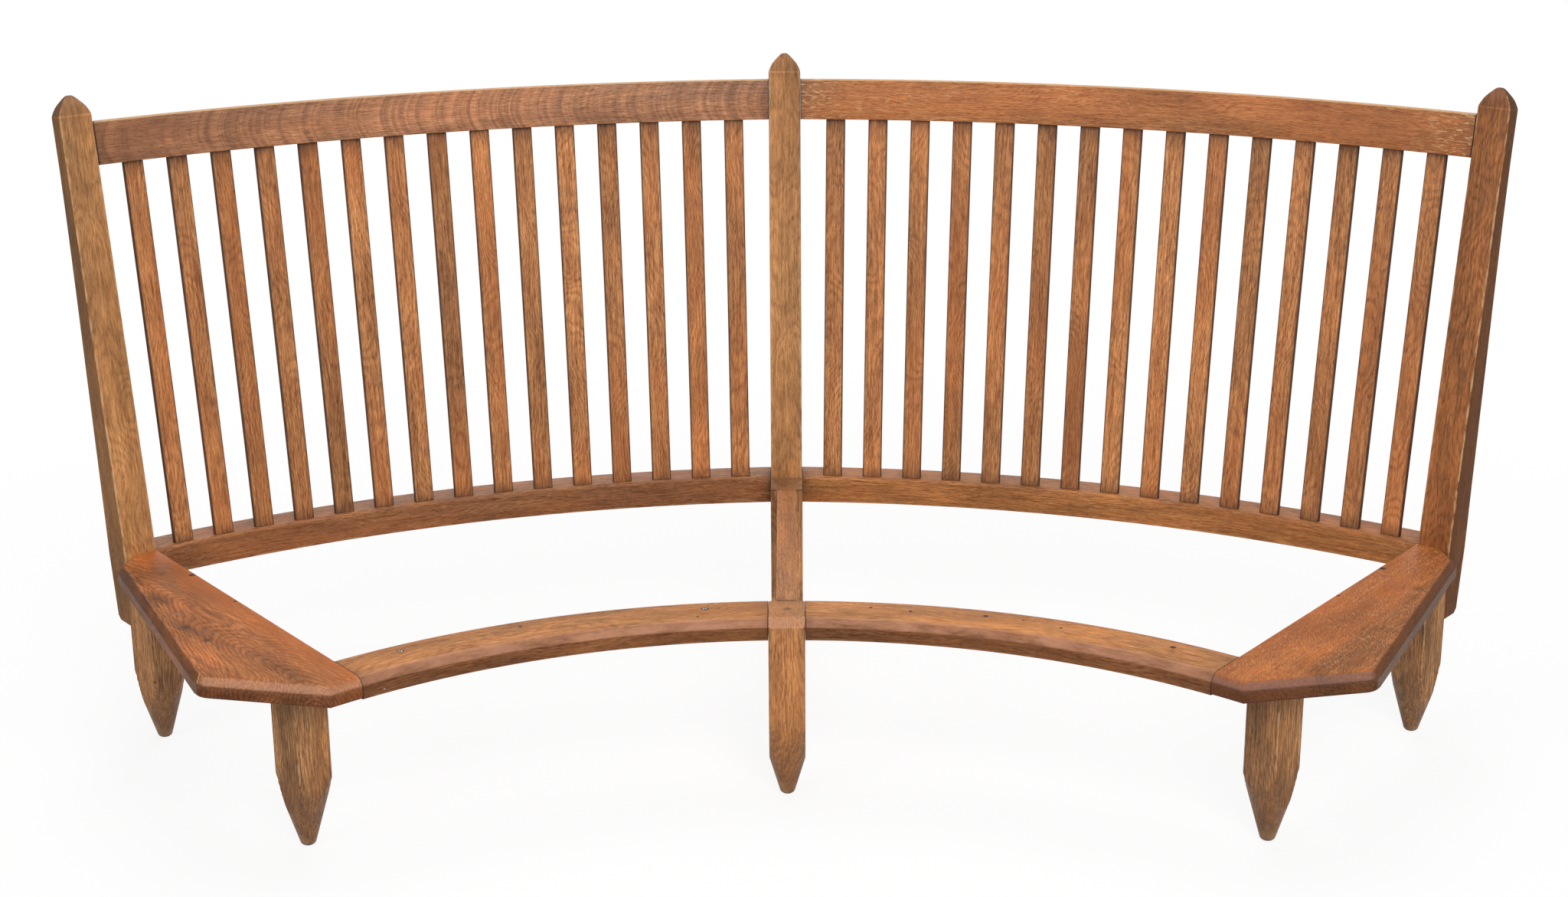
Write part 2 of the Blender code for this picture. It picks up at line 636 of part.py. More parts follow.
def make_front_rail(leg, board):
    """The right front rail, between the centre leg and the end board's inner edge."""
    low, high = SEAT_HEIGHT - FRONT_RAIL_HEIGHT, SEAT_HEIGHT
    near, far = FRONT_RADIUS, FRONT_RADIUS + FRONT_RAIL_DEPTH
    profile = chamfered([(near, low), (near, high), (far, high), (far, low)],
                        [0.0, FRONT_RAIL_CHAMFER, 0.0015, 0.0])
    side = side_frame()
    inner = -BOARD_INNER_EDGE
    edge = side @ Vector((inner - FIT, 0.0, 0.0))
    outward = side.to_3x3() @ Vector((1.0, 0.0, 0.0))
    planes = [(Vector((0.5 * LEG_WIDTH + FIT, 0.0, 0.0)), Vector((-1.0, 0.0, 0.0))), (edge, outward)]
    mesh = curved_rail("front_rail_right", profile, (0.0, 0.0), 0.0, END_ANGLE, planes)
    rail = add_part("front_rail_right", mesh, tint=1.1)
    middle = FRONT_RADIUS + 0.5 * FRONT_RAIL_DEPTH
    height = SEAT_HEIGHT - 0.5 * FRONT_RAIL_HEIGHT - 0.001
    turn = Matrix.Rotation(math.pi, 4, "Z")
    leg_place = arc_frame(0.0, middle, 0.5 * LEG_WIDTH, height) @ turn
    tenon_joint(rail, leg, "front_rail_leg", leg_place, FRONT_TENON)
    centre_local = side.inverted() @ Vector((0.0, 0.0, 0.0))
    reach = math.sqrt(middle ** 2 - (inner - centre_local.x) ** 2)
    board_place = side @ Matrix.Translation((inner, centre_local.y + reach, height))
    tenon_joint(rail, board, "front_rail_board", board_place, FRONT_TENON)
    return rail


def make_side_rail(front_leg, rear_leg, front_place, rear_place):
    """The rail under the right end board, between its two legs."""
    side = side_frame()
    high = SEAT_HEIGHT - BOARD_THICKNESS - FIT
    low = high - SIDE_RAIL_HEIGHT
    half = 0.5 * SIDE_RAIL_THICKNESS
    bm = box_bmesh((-half, 0.0, low), (half, side_line()[1], high))
    bevel_edges(bm, lambda a, b: abs(a.y - b.y) > 0.2 and max(a.z, b.z) < low + 1e-5, 0.002)
    height = 0.5 * (low + high)
    front_face = front_place @ Matrix.Translation((0.0, 0.5 * LEG_DEPTH, height))
    rear_face = rear_place @ Matrix.Translation((0.0, -0.5 * LEG_DEPTH, height))
    to_side = side.inverted()
    for face, away in ((front_face, -1.0), (rear_face, 1.0)):
        local = to_side @ face
        normal = local.to_3x3() @ Vector((0.0, away, 0.0))
        trim(bm, local.translation - normal * FIT, normal)
    rail = add_part("side_rail_right", mesh_from(bm, "side_rail_right"), side, tint=0.85)
    forward = Matrix.Rotation(-0.5 * math.pi, 4, "Z")
    backward = Matrix.Rotation(0.5 * math.pi, 4, "Z")
    tenon_joint(rail, front_leg, "side_rail_front", front_face @ forward, SIDE_TENON)
    tenon_joint(rail, rear_leg, "side_rail_rear", rear_face @ backward, SIDE_TENON)
    return rail


def make_stretcher(front_leg, rear_leg, rear_face):
    """The middle stretcher, flush with the seat frame's top."""
    front_face = FRONT_RADIUS + CENTRE_FRONT_LEG_DEPTH
    low, high = SEAT_HEIGHT - STRETCHER_HEIGHT, SEAT_HEIGHT
    half = 0.5 * STRETCHER_WIDTH
    bm = box_bmesh((-half, front_face + FIT, low), (half, rear_face - FIT, high))
    bevel_edges(bm, lambda a, b: abs(a.y - b.y) > 0.2, STRETCHER_EDGE)
    stretcher = add_part("centre_stretcher", mesh_from(bm, "centre_stretcher"), tint=1.05)
    height = 0.5 * (low + high)
    forward = Matrix.Rotation(-0.5 * math.pi, 4, "Z")
    backward = Matrix.Rotation(0.5 * math.pi, 4, "Z")
    tenon_joint(stretcher, front_leg, "stretcher_front",
                Matrix.Translation((0.0, front_face, height)) @ forward, STRETCHER_TENON)
    tenon_joint(stretcher, rear_leg, "stretcher_rear",
                Matrix.Translation((0.0, rear_face, height)) @ backward, STRETCHER_TENON)
    return stretcher


# The bench

def make_bench():
    """Builds the centre and right pieces, then mirrors the right ones."""
    end_height = SEAT_HEIGHT - BOARD_THICKNESS - FIT
    end_lap = BACK_RADIUS - REAR_LEG_LAP_STEP
    end_post = make_post("post_right", END_ANGLE, end_lap, end_height, 0.95)
    centre_lap = BACK_RADIUS - FIT
    centre_post = make_post("post_centre", 0.0, centre_lap, SEAT_HEIGHT, 1.05)
    rails = make_back(centre_post, end_post)

    front_place = arc_frame(0.0, FRONT_RADIUS + 0.5 * CENTRE_FRONT_LEG_DEPTH)
    front_leg = make_leg("leg_front_centre", front_place, CENTRE_FRONT_LEG_DEPTH, SEAT_HEIGHT, 1.0,
                         chamfer=CENTRE_LEG_CHAMFER)
    rear_radius = centre_lap - FIT - 0.5 * CENTRE_REAR_LEG_DEPTH
    rear_leg = make_leg("leg_rear_centre", arc_frame(0.0, rear_radius), CENTRE_REAR_LEG_DEPTH,
                        SEAT_HEIGHT, 0.85)
    make_stretcher(front_leg, rear_leg, rear_radius - 0.5 * CENTRE_REAR_LEG_DEPTH)

    front_place, rear_place = front_corner(), rear_corner()
    corner_front = make_leg("leg_front_right", front_place, LEG_DEPTH, end_height, 0.9, tenon=True)
    corner_rear = make_leg("leg_rear_right", rear_place, LEG_DEPTH, end_height, 0.9, tenon=True)
    board = make_board([front_place, rear_place])
    front_rail = make_front_rail(front_leg, board)
    side_rail = make_side_rail(corner_front, corner_rear, front_place, rear_place)

    for item in (end_post, *rails, corner_front, corner_rear, board, front_rail, side_rail):
        mirrored(item, item.name.replace("right", "left"), 0.97)

    # The left rails' tenons enter the centre pieces too
    for item in (centre_post, front_leg):
        for modifier in [m for m in item.modifiers if m.operation == "DIFFERENCE"]:
            tool = modifier.object
            if abs((tool.matrix_local.translation).x) < 0.001:
                continue
            copy = tool.data.copy()
            copy.transform(MIRROR_X)
            copy.flip_normals()
            left = add_tool(tool.name + "_left", copy, MIRROR_X @ tool.matrix_local @ MIRROR_X)
            boolean(item, left, "DIFFERENCE")


def stand_on_origin():
    """Moves the frame so that the bench's box stands centred on the origin."""
    bpy.context.view_layer.update()
    graph = bpy.context.evaluated_depsgraph_get()
    low, high = Vector((math.inf,) * 3), Vector((-math.inf,) * 3)
    for item in [piece for piece in PARTS.objects if piece.type == "MESH"]:
        shape = item.evaluated_get(graph)
        for vertex in shape.to_mesh().vertices:
            point = item.matrix_world @ vertex.co
            low = Vector(map(min, low, point))
            high = Vector(map(max, high, point))
        shape.to_mesh_clear()
    FRAME.location -= Vector((0.5 * (low.x + high.x), 0.5 * (low.y + high.y), low.z))
    bpy.context.view_layer.update()


clear_scene()
PARTS = make_collection("curved_bench")
CUTTERS = make_collection("cutters")
FRAME = bpy.data.objects.new("bench_frame", None)
PARTS.objects.link(FRAME)
FOOT_POINT = foot_cutter()
make_bench()
stand_on_origin()
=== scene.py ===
"""Looks of the curved oak bench: every timber rebuilt with worn edges and real grain."""

import math
import random

import bpy
from mathutils import Matrix, Vector


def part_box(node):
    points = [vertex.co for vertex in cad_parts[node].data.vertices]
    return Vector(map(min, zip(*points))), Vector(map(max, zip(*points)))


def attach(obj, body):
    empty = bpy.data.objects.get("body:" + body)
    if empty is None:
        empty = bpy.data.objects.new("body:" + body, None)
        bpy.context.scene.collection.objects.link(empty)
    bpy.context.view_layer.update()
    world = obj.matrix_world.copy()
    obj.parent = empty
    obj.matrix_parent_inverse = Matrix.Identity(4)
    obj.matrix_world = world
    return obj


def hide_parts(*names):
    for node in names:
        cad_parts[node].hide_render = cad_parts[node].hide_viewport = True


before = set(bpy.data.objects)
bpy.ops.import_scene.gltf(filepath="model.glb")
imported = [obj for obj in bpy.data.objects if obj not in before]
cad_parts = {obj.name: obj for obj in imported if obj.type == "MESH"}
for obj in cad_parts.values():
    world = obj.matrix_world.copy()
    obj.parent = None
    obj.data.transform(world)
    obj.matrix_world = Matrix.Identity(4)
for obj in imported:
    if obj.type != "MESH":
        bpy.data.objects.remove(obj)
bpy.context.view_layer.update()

# Sizes shared with the solid model
FIT = 0.0003
SEAT = 0.277
BACK_RADIUS = 1.500
FRONT_RADIUS = 0.8705
END_ANGLE = math.radians(39.83)
RAKE = math.radians(7.8)
HALF_FLATTENING = 0.010
POST_WIDTH = 0.050
POST_SEAT_DEPTH = 0.058
POST_TOP_DEPTH = 0.028
POST_SHOULDER = 0.650
POST_DROP = 0.109
POST_FOOT_CHAMFER = 0.006
FINIAL_HEIGHT = 0.033
TOP_RAIL_START = 0.576
TOP_RAIL_HEIGHT = 0.063
TOP_RAIL_THICKNESS = 0.030
TOP_RAIL_SET_BACK = 0.0015
BACK_RAIL_HEIGHT = 0.043
BACK_RAIL_DEPTH = 0.056
BACK_RAIL_SET_BACK = 0.0035
SLATS_PER_HALF = 15
SLAT_WIDTH = 0.030
SLAT_THICKNESS = 0.010
SLAT_SET_BACK = 0.0115
FRONT_RAIL_DEPTH = 0.076
FRONT_RAIL_HEIGHT = 0.030
LEG_WIDTH = 0.051
LEG_DEPTH = 0.066
REAR_CENTRE_DEPTH = 0.061
CENTRE_LEG_CHAMFER = 0.012
FRONT_LEG_RADIUS = 0.998
FRONT_LEG_ANGLE = math.radians(41.0)
REAR_LEG_SHIFT = 0.0064
REAR_LEG_LAP_STEP = 0.0104
FOOT_TIP_RADIUS = 0.0095
FOOT_SLOPE = 0.295
BOARD_THICKNESS = 0.030
BOARD_INNER_EDGE = 0.0302
BOARD_FRONT_OUTER = (0.1387, 0.0132)
BOARD_BACK_OUTER = (0.0449, 0.0151)
BOARD_TURN_ANGLE = math.radians(42.6)
BOARD_CORNER_RADIUS = 0.028
STRETCHER_WIDTH = 0.030
STRETCHER_HEIGHT = 0.045
SIDE_RAIL_THICKNESS = 0.025
SIDE_RAIL_HEIGHT = 0.055

# Softened edges, the rim of a leg's top, and the hair's breadth between two near faces
SOFT_EDGE = 0.0024
LEG_EDGE = 0.0022
LEG_TOP_EDGE = 0.0008
HAIR = 0.0001

# Screws in the left front rail: angles in degrees, the rest are radii
SCREW_ANGLES = (-34.0, -7.1)
SCREW_RADIUS = 0.924
SCREW_HOLE = 0.0060
SCREW_HEAD = 0.0034
# A nail in the same rail's nose: angle in degrees and height
NAIL_PLACE = (-37.30, 0.2535)
NAIL_HEAD = 0.0013

# How much lighter or darker than their wood some timbers and ends are
SLAT_TONES = (-0.18, 0.12)
POST_TOP_TONE = -0.15
SHOULDER_TONE = 0.30
FINIAL_TONE = -0.26
TOP_RAIL_FADE = -0.25
LEG_TOP_TONE = -0.45

# Distance to a joint that keeps an exposed end clean
CLEAN_GAP = 0.006

# The photograph's viewpoint in arc coordinates, its turns in degrees and its lens
EYE = (0.0061, -2.2855, 1.5227)
PITCH, YAW, ROLL = (math.radians(turn) for turn in (17.539, -0.151, -0.339))
LENS = 56.40

# The floor: how much of its white takes light and shadow, and between which distances that fades
FLOOR_REACH = 14.0
FLOOR_SHADOW = 0.15
SHADOW_FADE = (1.0, 2.2)

# Lamps: name, place, aim, width, power, tint, and whether gloss shows them
WARM_LIGHT = (1.0, 0.98, 0.95)
LAMPS = (("key", (0.9, -4.0, 3.2), (0.0, 0.1, 0.4), 2.6, 127.0, WARM_LIGHT, True),
         ("fill", (-3.2, -2.9, 2.2), (0.0, 0.1, 0.4), 2.6, 44.0, (0.98, 0.99, 1.0), True),
         ("rear", (0.0, 4.2, 2.2), (0.0, 0.3, 0.5), 3.0, 55.0, WARM_LIGHT, False),
         ("side", (2.9, -1.1, 0.5), (0.9, -0.2, 0.25), 1.0, 10.0, (0.86, 0.95, 1.0), False),
         ("top", (0.0, 0.4, 3.6), (0.0, 0.0, 0.3), 2.4, 33.0, (1.0, 1.0, 1.0), True))

# Where the arc's centre lies in the row's frame
ARC_Y = FRONT_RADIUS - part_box("leg_front_centre")[0].y
SIN, COS, LEAN = math.sin(RAKE), math.cos(RAKE), math.tan(RAKE)
SCENE = bpy.context.scene
SIDES = (("right", 1.0), ("left", -1.0))
WOODS = {}


# Plan geometry, in arc coordinates until a point is placed

def plan(angle, radius, across=0.0, centre=(0.0, 0.0)):
    """Plan point at a radius, and its distance across the radial line."""
    sin, cos = math.sin(angle), math.cos(angle)
    return centre[0] + radius * sin + across * cos, centre[1] + radius * cos - across * sin


def placed(x, y, z, side=1.0):
    """A point of the arc's coordinates in the row's frame, mirrored for the left half."""
    return Vector((side * x, y - ARC_Y, z))


def on_arc(angle, radius, across, height, side=1.0):
    return placed(*plan(angle, radius, across), height, side)


def half_arc():
    """Centre, radius and end angles of the flatter arc of one back half."""
    middle = 0.5 * END_ANGLE
    half_chord = BACK_RADIUS * math.sin(middle)
    sagitta = BACK_RADIUS * (1.0 - math.cos(middle)) - HALF_FLATTENING
    radius = (half_chord ** 2 + sagitta ** 2) / (2.0 * sagitta)
    reach = BACK_RADIUS * math.cos(middle) - (radius - sagitta)
    spread = math.asin(half_chord / radius)
    return plan(middle, reach), radius, middle - spread, middle + spread


HALF_CENTRE, HALF_RADIUS, HALF_START, HALF_END = half_arc()


def raked(radius, y, z):
    """Outward distance and height of a point of the leaning section."""
    return radius + y * COS + z * SIN, SEAT - y * SIN + z * COS


# The line from the right front corner leg to the rear one, and the directions beside it
REAR_LEG_RADIUS = BACK_RADIUS - REAR_LEG_LAP_STEP - FIT - 0.5 * LEG_DEPTH
SIDE_START = Vector(plan(FRONT_LEG_ANGLE, FRONT_LEG_RADIUS))
SIDE_RUN = Vector(plan(END_ANGLE, REAR_LEG_RADIUS, REAR_LEG_SHIFT)) - SIDE_START
SIDE_ANGLE = math.atan2(SIDE_RUN.x, SIDE_RUN.y)
SIDE_OUT = Vector((math.cos(SIDE_ANGLE), -math.sin(SIDE_ANGLE)))
SIDE_ALONG = Vector((math.sin(SIDE_ANGLE), math.cos(SIDE_ANGLE)))


def from_side(x, y):
    """Arc coordinates of a point given beside the line between the corner legs."""
    return SIDE_START + SIDE_OUT * x + SIDE_ALONG * y


# Meshes lofted from rings of points

class Ring:
    """Points of one section, with the timber's own coordinates for the grain and the edges."""

    def __init__(self, points, grain, edges, gap, tone=0.0):
        self.points = points
        self.grain = grain
        self.section = [(x, y, gap) for x, y in edges]
        self.tone = tone


def in_scene(name, data):
    item = bpy.data.objects.new(name, data)
    SCENE.collection.objects.link(item)
    return item


def loft(name, rings, wood, side=1.0, tone=0.0, shift=0.0, sharp=32.0):
    """A solid through its rings, which carries its grain coordinates."""
    count = len(rings[0].points)
    verts = [tuple(point) for ring in rings for point in ring.points]
    faces = []
    for low in range(0, (len(rings) - 1) * count, count):
        for index in range(count):
            after = (index + 1) % count
            faces.append((low + index, low + after, low + count + after, low + count + index))
    faces.append(tuple(reversed(range(count))))
    faces.append(tuple((len(rings) - 1) * count + index for index in range(count)))
    if side < 0.0:
        faces = [tuple(reversed(face)) for face in faces]
    mesh = bpy.data.meshes.new(name)
    mesh.from_pydata(verts, [], faces)
    mesh.validate()
    grain = [c for ring in rings for local in ring.grain for c in (local[0] + shift, local[1], local[2])]
    section = [c for ring in rings for edge in ring.section for c in edge]
    tones = [tone + ring.tone for ring in rings for _ in ring.points]
    for label, kind, field, values in (("grain", "FLOAT_VECTOR", "vector", grain),
                                       ("section", "FLOAT_VECTOR", "vector", section),
                                       ("tone", "FLOAT", "value", tones)):
        mesh.attributes.new(label, kind, "POINT")
        mesh.attributes[label].data.foreach_set(field, values)
    mesh.update()
    mesh.polygons.foreach_set("use_smooth", [True] * len(mesh.polygons))
    mesh.set_sharp_from_angle(angle=math.radians(sharp))
    item = in_scene(name, mesh)
    mesh.materials.append(WOODS[wood])
    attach(item, "root")
    return item


def dress(node, rings, wood, side, tone, shift, sharp=32.0):
    """A lofted timber that takes its solid's place."""
    item = loft(f"{node}_dressed", rings, wood, side, tone, shift, sharp)
    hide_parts(node)


def rounded_box(x0, x1, y0, y1, radii, steps=3):
    """Outline of a rectangle with its own rounding at each corner, anticlockwise from (x0, y0)."""
    corners = ((x0, y0, 180.0), (x1, y0, 270.0), (x1, y1, 0.0), (x0, y1, 90.0))
    points = []
    for (x, y, start), radius in zip(corners, radii):
        middle_x = x + math.copysign(radius, 0.5 * (x0 + x1) - x)
        middle_y = y + math.copysign(radius, 0.5 * (y0 + y1) - y)
        for step in range(steps + 1):
            angle = math.radians(start + 90.0 * step / steps)
            points.append((middle_x + radius * math.cos(angle), middle_y + radius * math.sin(angle)))
    return points


def edges_of(points):
    """How near each point of an outline is to the sides of its box, from -1 to 1 both ways."""
    low = [min(p[i] for p in points) for i in (0, 1)]
    high = [max(p[i] for p in points) for i in (0, 1)]
    return [tuple(2.0 * (p[i] - low[i]) / (high[i] - low[i]) - 1.0 for i in (0, 1)) for p in points]


# Materials

class Tree:
    """The nodes of a material or a world, added and wired in one line each."""

    def __init__(self, owner):
        owner.use_nodes = True
        self.owner = owner
        self.nodes = owner.node_tree.nodes
        self.links = owner.node_tree.links

    def add(self, kind, inputs=None, **settings):
        node = self.nodes.new("ShaderNode" + kind)
        for key, value in settings.items():
            setattr(node, key, value)
        for key, value in (inputs or {}).items():
            self.feed(node.inputs[key], value)
        return node

    def feed(self, socket, value):
        if isinstance(value, bpy.types.NodeSocket):
            self.links.new(value, socket)
        elif value is not None:
            socket.default_value = value

    def maths(self, operation, a, b=None):
        return self.add("Math", {0: a, 1: b}, operation=operation).outputs[0]

    def plus(self, a, b):
        return self.maths("ADD", a, b)

    def times(self, a, b):
        return self.maths("MULTIPLY", a, b)

    def inverse(self, value):
        return self.maths("SUBTRACT", 1.0, value)

    def vector(self, operation, a, b):
        return self.add("VectorMath", {0: a, 1: b}, operation=operation).outputs[0]

    def scaled(self, vector, scale):
        return self.vector("MULTIPLY", vector, scale)

    def turned(self, vector, angle):
        turns = {"Vector": vector, "Angle": angle}
        return self.add("VectorRotate", turns, rotation_type="Z_AXIS").outputs[0]

    def apart(self, vector):
        return self.add("SeparateXYZ", {0: vector}).outputs

    def noise(self, vector, scales, detail=2.0, roughness=0.5, distortion=0.0):
        node = self.add("TexNoise", {"Vector": self.scaled(vector, scales), "Scale": 1.0, "Detail": detail,
                                     "Roughness": roughness, "Distortion": distortion})
        return node.outputs["Fac"]

    def span(self, value, low, high, start=0.0, end=1.0):
        node = self.add("MapRange", {"Value": value, "From Min": low, "From Max": high,
                                     "To Min": start, "To Max": end}, clamp=True)
        return node.outputs["Result"]

    def below(self, value, low, high):
        """One up to the low value, falling to nothing at the high one."""
        return self.inverse(self.span(value, low, high))

    def hill(self, value, foot, top, edge, end):
        """Rises from the foot to the top, and falls again from the edge to the end."""
        return self.times(self.span(value, foot, top), self.below(value, edge, end))

    def mix(self, factor, a, b, blend="MIX"):
        return self.add("Mix", {0: factor, 6: a, 7: b}, data_type="RGBA", blend_type=blend).outputs[2]


def rgb(red, green, blue):
    """A display colour from 0 to 255 as linear values."""
    return tuple(((c / 255.0 + 0.055) / 1.055) ** 2.4 for c in (red, green, blue)) + (1.0,)


PALE_WEAR = rgb(216, 172, 126)
# Pale pinkish colour of the painted highlight on sloping faces
LIP_HIGHLIGHT = rgb(196, 142, 112)
CREAM = rgb(224, 182, 132)
PALE_GROWTH = rgb(226, 160, 102)
FLECK = rgb(218, 164, 108)
# Pale colour of the painted floor light on the boards' outer sides
FLOOR_LIGHT_STRIP = rgb(246, 232, 222)
END_GRAIN = rgb(190, 150, 112)
ORANGE_MARK = rgb(240, 168, 88)
# Dark brown for grime, joint lines and painted shade
GRIME_AND_SHADE = rgb(48, 30, 20)
# Painted shade on the boards' outer chamfers
SHADED_CHAMFER = rgb(84, 52, 33)
FOOT_GRIME = rgb(84, 56, 42)
# Black of the painted contact shadow under each foot
FOOT_CONTACT_SHADOW = rgb(36, 26, 20)
# Dark of holes, stains and painted gap shadow
SPOT_AND_SHADOW_DARK = rgb(30, 20, 14)


class Oak(Tree):
    """Aged, waxed oak, painted in layers on a face colour."""

    def __init__(self, name):
        super().__init__(bpy.data.materials.new(name))
        self.shader = self.nodes["Principled BSDF"].inputs
        self.grain = self.add("Attribute", attribute_name="grain").outputs["Vector"]
        section = self.add("Attribute", attribute_name="section").outputs["Vector"]
        self.tone = self.add("Attribute", attribute_name="tone").outputs["Fac"]
        edges, local = self.apart(section), self.apart(self.grain)
        self.edge_x, self.edge_y, self.gap = edges["X"], edges["Y"], edges["Z"]
        self.along, self.across = local["X"], local["Y"]
        self.place = self.add("TexCoord").outputs["Object"]
        self.height = self.apart(self.place)["Z"]
        self.normal = self.apart(self.add("NewGeometry").outputs["Normal"])
        self.facing = self.normal["Z"]
        self.bent = self.wander((2.6, 12.0, 12.0), (0.0, 0.018, 0.018))
        self.cloud = self.noise(self.grain, (4.5, 18.0, 18.0), 3.0, 0.55)
        self.patch = self.noise(self.grain, (16.0, 48.0, 48.0), 4.0, 0.65)

    def wander(self, scales, reach):
        """The grain's coordinates, moved a little by a slow noise."""
        slow = self.add("TexNoise", {"Vector": self.scaled(self.grain, scales), "Scale": 1.0, "Detail": 1.0})
        shift = self.vector("SUBTRACT", slow.outputs["Color"], (0.5, 0.5, 0.5))
        return self.vector("ADD", self.scaled(shift, reach), self.grain)

    def paint(self, mask, strength, tint):
        self.face = self.mix(self.times(mask, strength), self.face, tint)

    def growth(self, ring, pith, figure, arch):
        """How far each point is through its growth ring; the rings run round a pith beside the timber."""
        bent = self.apart(self.bent)
        sideways = self.plus(bent["Y"], pith[0])
        down = self.plus(bent["Z"], pith[1])
        radius = self.maths("SQRT", self.plus(self.times(sideways, sideways), self.times(down, down)))
        island = self.noise(self.grain, (7.0, 17.0, 17.0), 1.0, 0.4)
        radius = self.plus(radius, self.times(island, figure * 10.0))
        if arch > 0.0:
            radius = self.plus(radius, self.times(self.along, arch))
        ragged = self.noise(self.grain, (12.0, 150.0, 150.0))
        return self.maths("FRACT", self.plus(self.times(radius, 1.0 / ring), self.times(ragged, 0.7)))

    def draw_grain(self, deep, pale, warm, phase, lines, contrast, arch):
        """Streaks, pores and growth lines along the grain."""
        early = self.hill(phase, 0.0, 0.22, 0.35, 0.62)
        coarse = self.noise(self.bent, (12.0, 300.0, 300.0), 2.0, 0.6)
        fine = self.noise(self.bent, (62.0, 840.0, 840.0), 3.0, 0.75)
        streak = self.plus(self.times(coarse, 0.35), self.times(fine, 0.65))
        streak = self.span(streak, 0.5 - 0.12 / contrast, 0.5 + 0.12 / contrast)
        pore = self.noise(self.bent, (110.0, 1000.0, 1000.0), 2.0, 0.6)
        pores = self.times(self.span(pore, 0.57, 0.64), self.span(early, 0.0, 1.0, 0.5, 1.0))
        hue = self.noise(self.grain, (1.7, 9.0, 9.0))
        darker = tuple(0.36 * c for c in deep[:3]) + (1.0,)

        self.face = self.mix(streak, deep, pale)
        self.paint(self.span(hue, 0.44, 0.62), 0.4, warm)
        if arch > 0.0:
            early = self.hill(phase, 0.0, 0.10, 0.22, 0.55)
            lines = self.span(self.along, 0.18, 0.36, lines, 0.35 * lines)
        self.paint(early, lines, darker)
        self.paint(pores, 0.6 * contrast, darker)
        if arch > 0.0:
            late = self.hill(phase, 0.58, 0.72, 0.86, 1.0)
            self.paint(late, self.span(self.along, 0.14, 0.32, 0.45, 0.05), PALE_GROWTH)

        relief = self.plus(self.times(pores, -1.0), self.times(fine, 0.6))
        relief = self.plus(relief, self.times(early, -0.3))
        bump = self.add("Bump", {"Height": relief, "Strength": 0.5, "Distance": 0.0007})
        self.feed(self.shader["Normal"], bump.outputs[0])
        return pores

    def shade(self, blotch, ripple):
        """Blotches, the timber's own tone, and bowed bands across the grain."""
        shade = self.span(self.cloud, 0.34, 0.66, 1.0 - 0.24 * blotch, 1.0 + 0.20 * blotch)
        small = self.span(self.patch, 0.34, 0.66, 1.0 - 0.14 * blotch, 1.0 + 0.12 * blotch)
        shade = self.times(self.times(shade, small), self.plus(1.0, self.tone))
        if ripple > 0.0:
            bow = self.plus(self.along, self.times(self.times(self.edge_y, self.edge_y), 0.014))
            bow = self.add("CombineXYZ", {0: bow, 1: self.across, 2: 0.0}).outputs[0]
            bands = self.noise(bow, (100.0, 14.0, 1.0), 2.0, 0.65, 0.8)
            bands = self.span(bands, 0.38, 0.62, -ripple, ripple)
            where = self.span(self.noise(self.grain, (7.0, 22.0, 22.0)), 0.34, 0.50, 0.3, 1.0)
            shade = self.times(shade, self.plus(1.0, self.times(bands, where)))
        grey = self.add("CombineColor", {0: shade, 1: shade, 2: shade}).outputs[0]
        self.face = self.mix(1.0, self.face, grey, "MULTIPLY")

    def draw_inner(self, tint):
        """The warmer inner side of a board."""
        near = self.plus(self.across, self.times(self.cloud, 0.05))
        self.paint(self.span(near, -0.01, 0.055, 1.0, 0.0), 0.5, tint)

    def draw_dashes(self, strength):
        """Cream dashes where rays are cut at a slant, most of them near a joint."""
        dash = self.noise(self.bent, (70.0, 330.0, 330.0), 2.0, 0.6, 0.5)
        where = self.span(self.noise(self.grain, (5.0, 20.0, 20.0), 1.0), 0.46, 0.62, 0.0, 0.5)
        where = self.maths("MAXIMUM", where, self.span(self.gap, 0.02, 0.11, 1.0, 0.0))
        self.paint(self.times(self.span(dash, 0.55, 0.63), where), strength, CREAM)

    def draw_flecks(self, strength):
        """Short wavering marks over the top."""
        loose = self.wander((24.0, 24.0, 24.0), (0.014, 0.014, 0.0))
        strokes = self.noise(self.turned(loose, 0.53), (74.0, 640.0, 0.0), 1.5)
        where = self.noise(self.grain, (15.0, 30.0, 30.0), 2.0, 0.6)
        mark = self.times(self.span(strokes, 0.53, 0.61), self.span(where, 0.34, 0.58, 0.2, 1.0))
        self.paint(self.times(mark, self.span(self.facing, 0.88, 0.98)), strength, FLECK)

    def paint_side_shade(self, flank_shade, flank_start, sides):
        """Painted shade: faces turned away from the top are multiplied by the flank colour and made duller,
        and the side faces are painted darker by the sides strength.
        """
        shaded_and_dull = self.below(self.facing, flank_start, 0.96)
        self.face = self.mix(shaded_and_dull, self.face, flank_shade + (1.0,), "MULTIPLY")
        self.matt = self.span(self.maths("ABSOLUTE", self.edge_x), 0.975, 0.998)
        # painted shade on the side faces
        if sides > 0.0:
            self.paint(self.matt, sides, GRIME_AND_SHADE)
        if min(flank_shade) < 1.0:
            self.matt = self.maths("MAXIMUM", shaded_and_dull, self.matt)

    def draw_nose(self, tint):
        """A board's nose: hatched marks in front, tinted partly as a painted highlight, painted shade on its
        outer chamfer, and a painted pale strip of floor light on the side below that.
        """
        slope = self.hill(self.facing, 0.05, 0.35, 0.85, 0.97)
        outward = self.times(self.normal["X"], self.maths("SIGN", self.apart(self.place)["X"]))
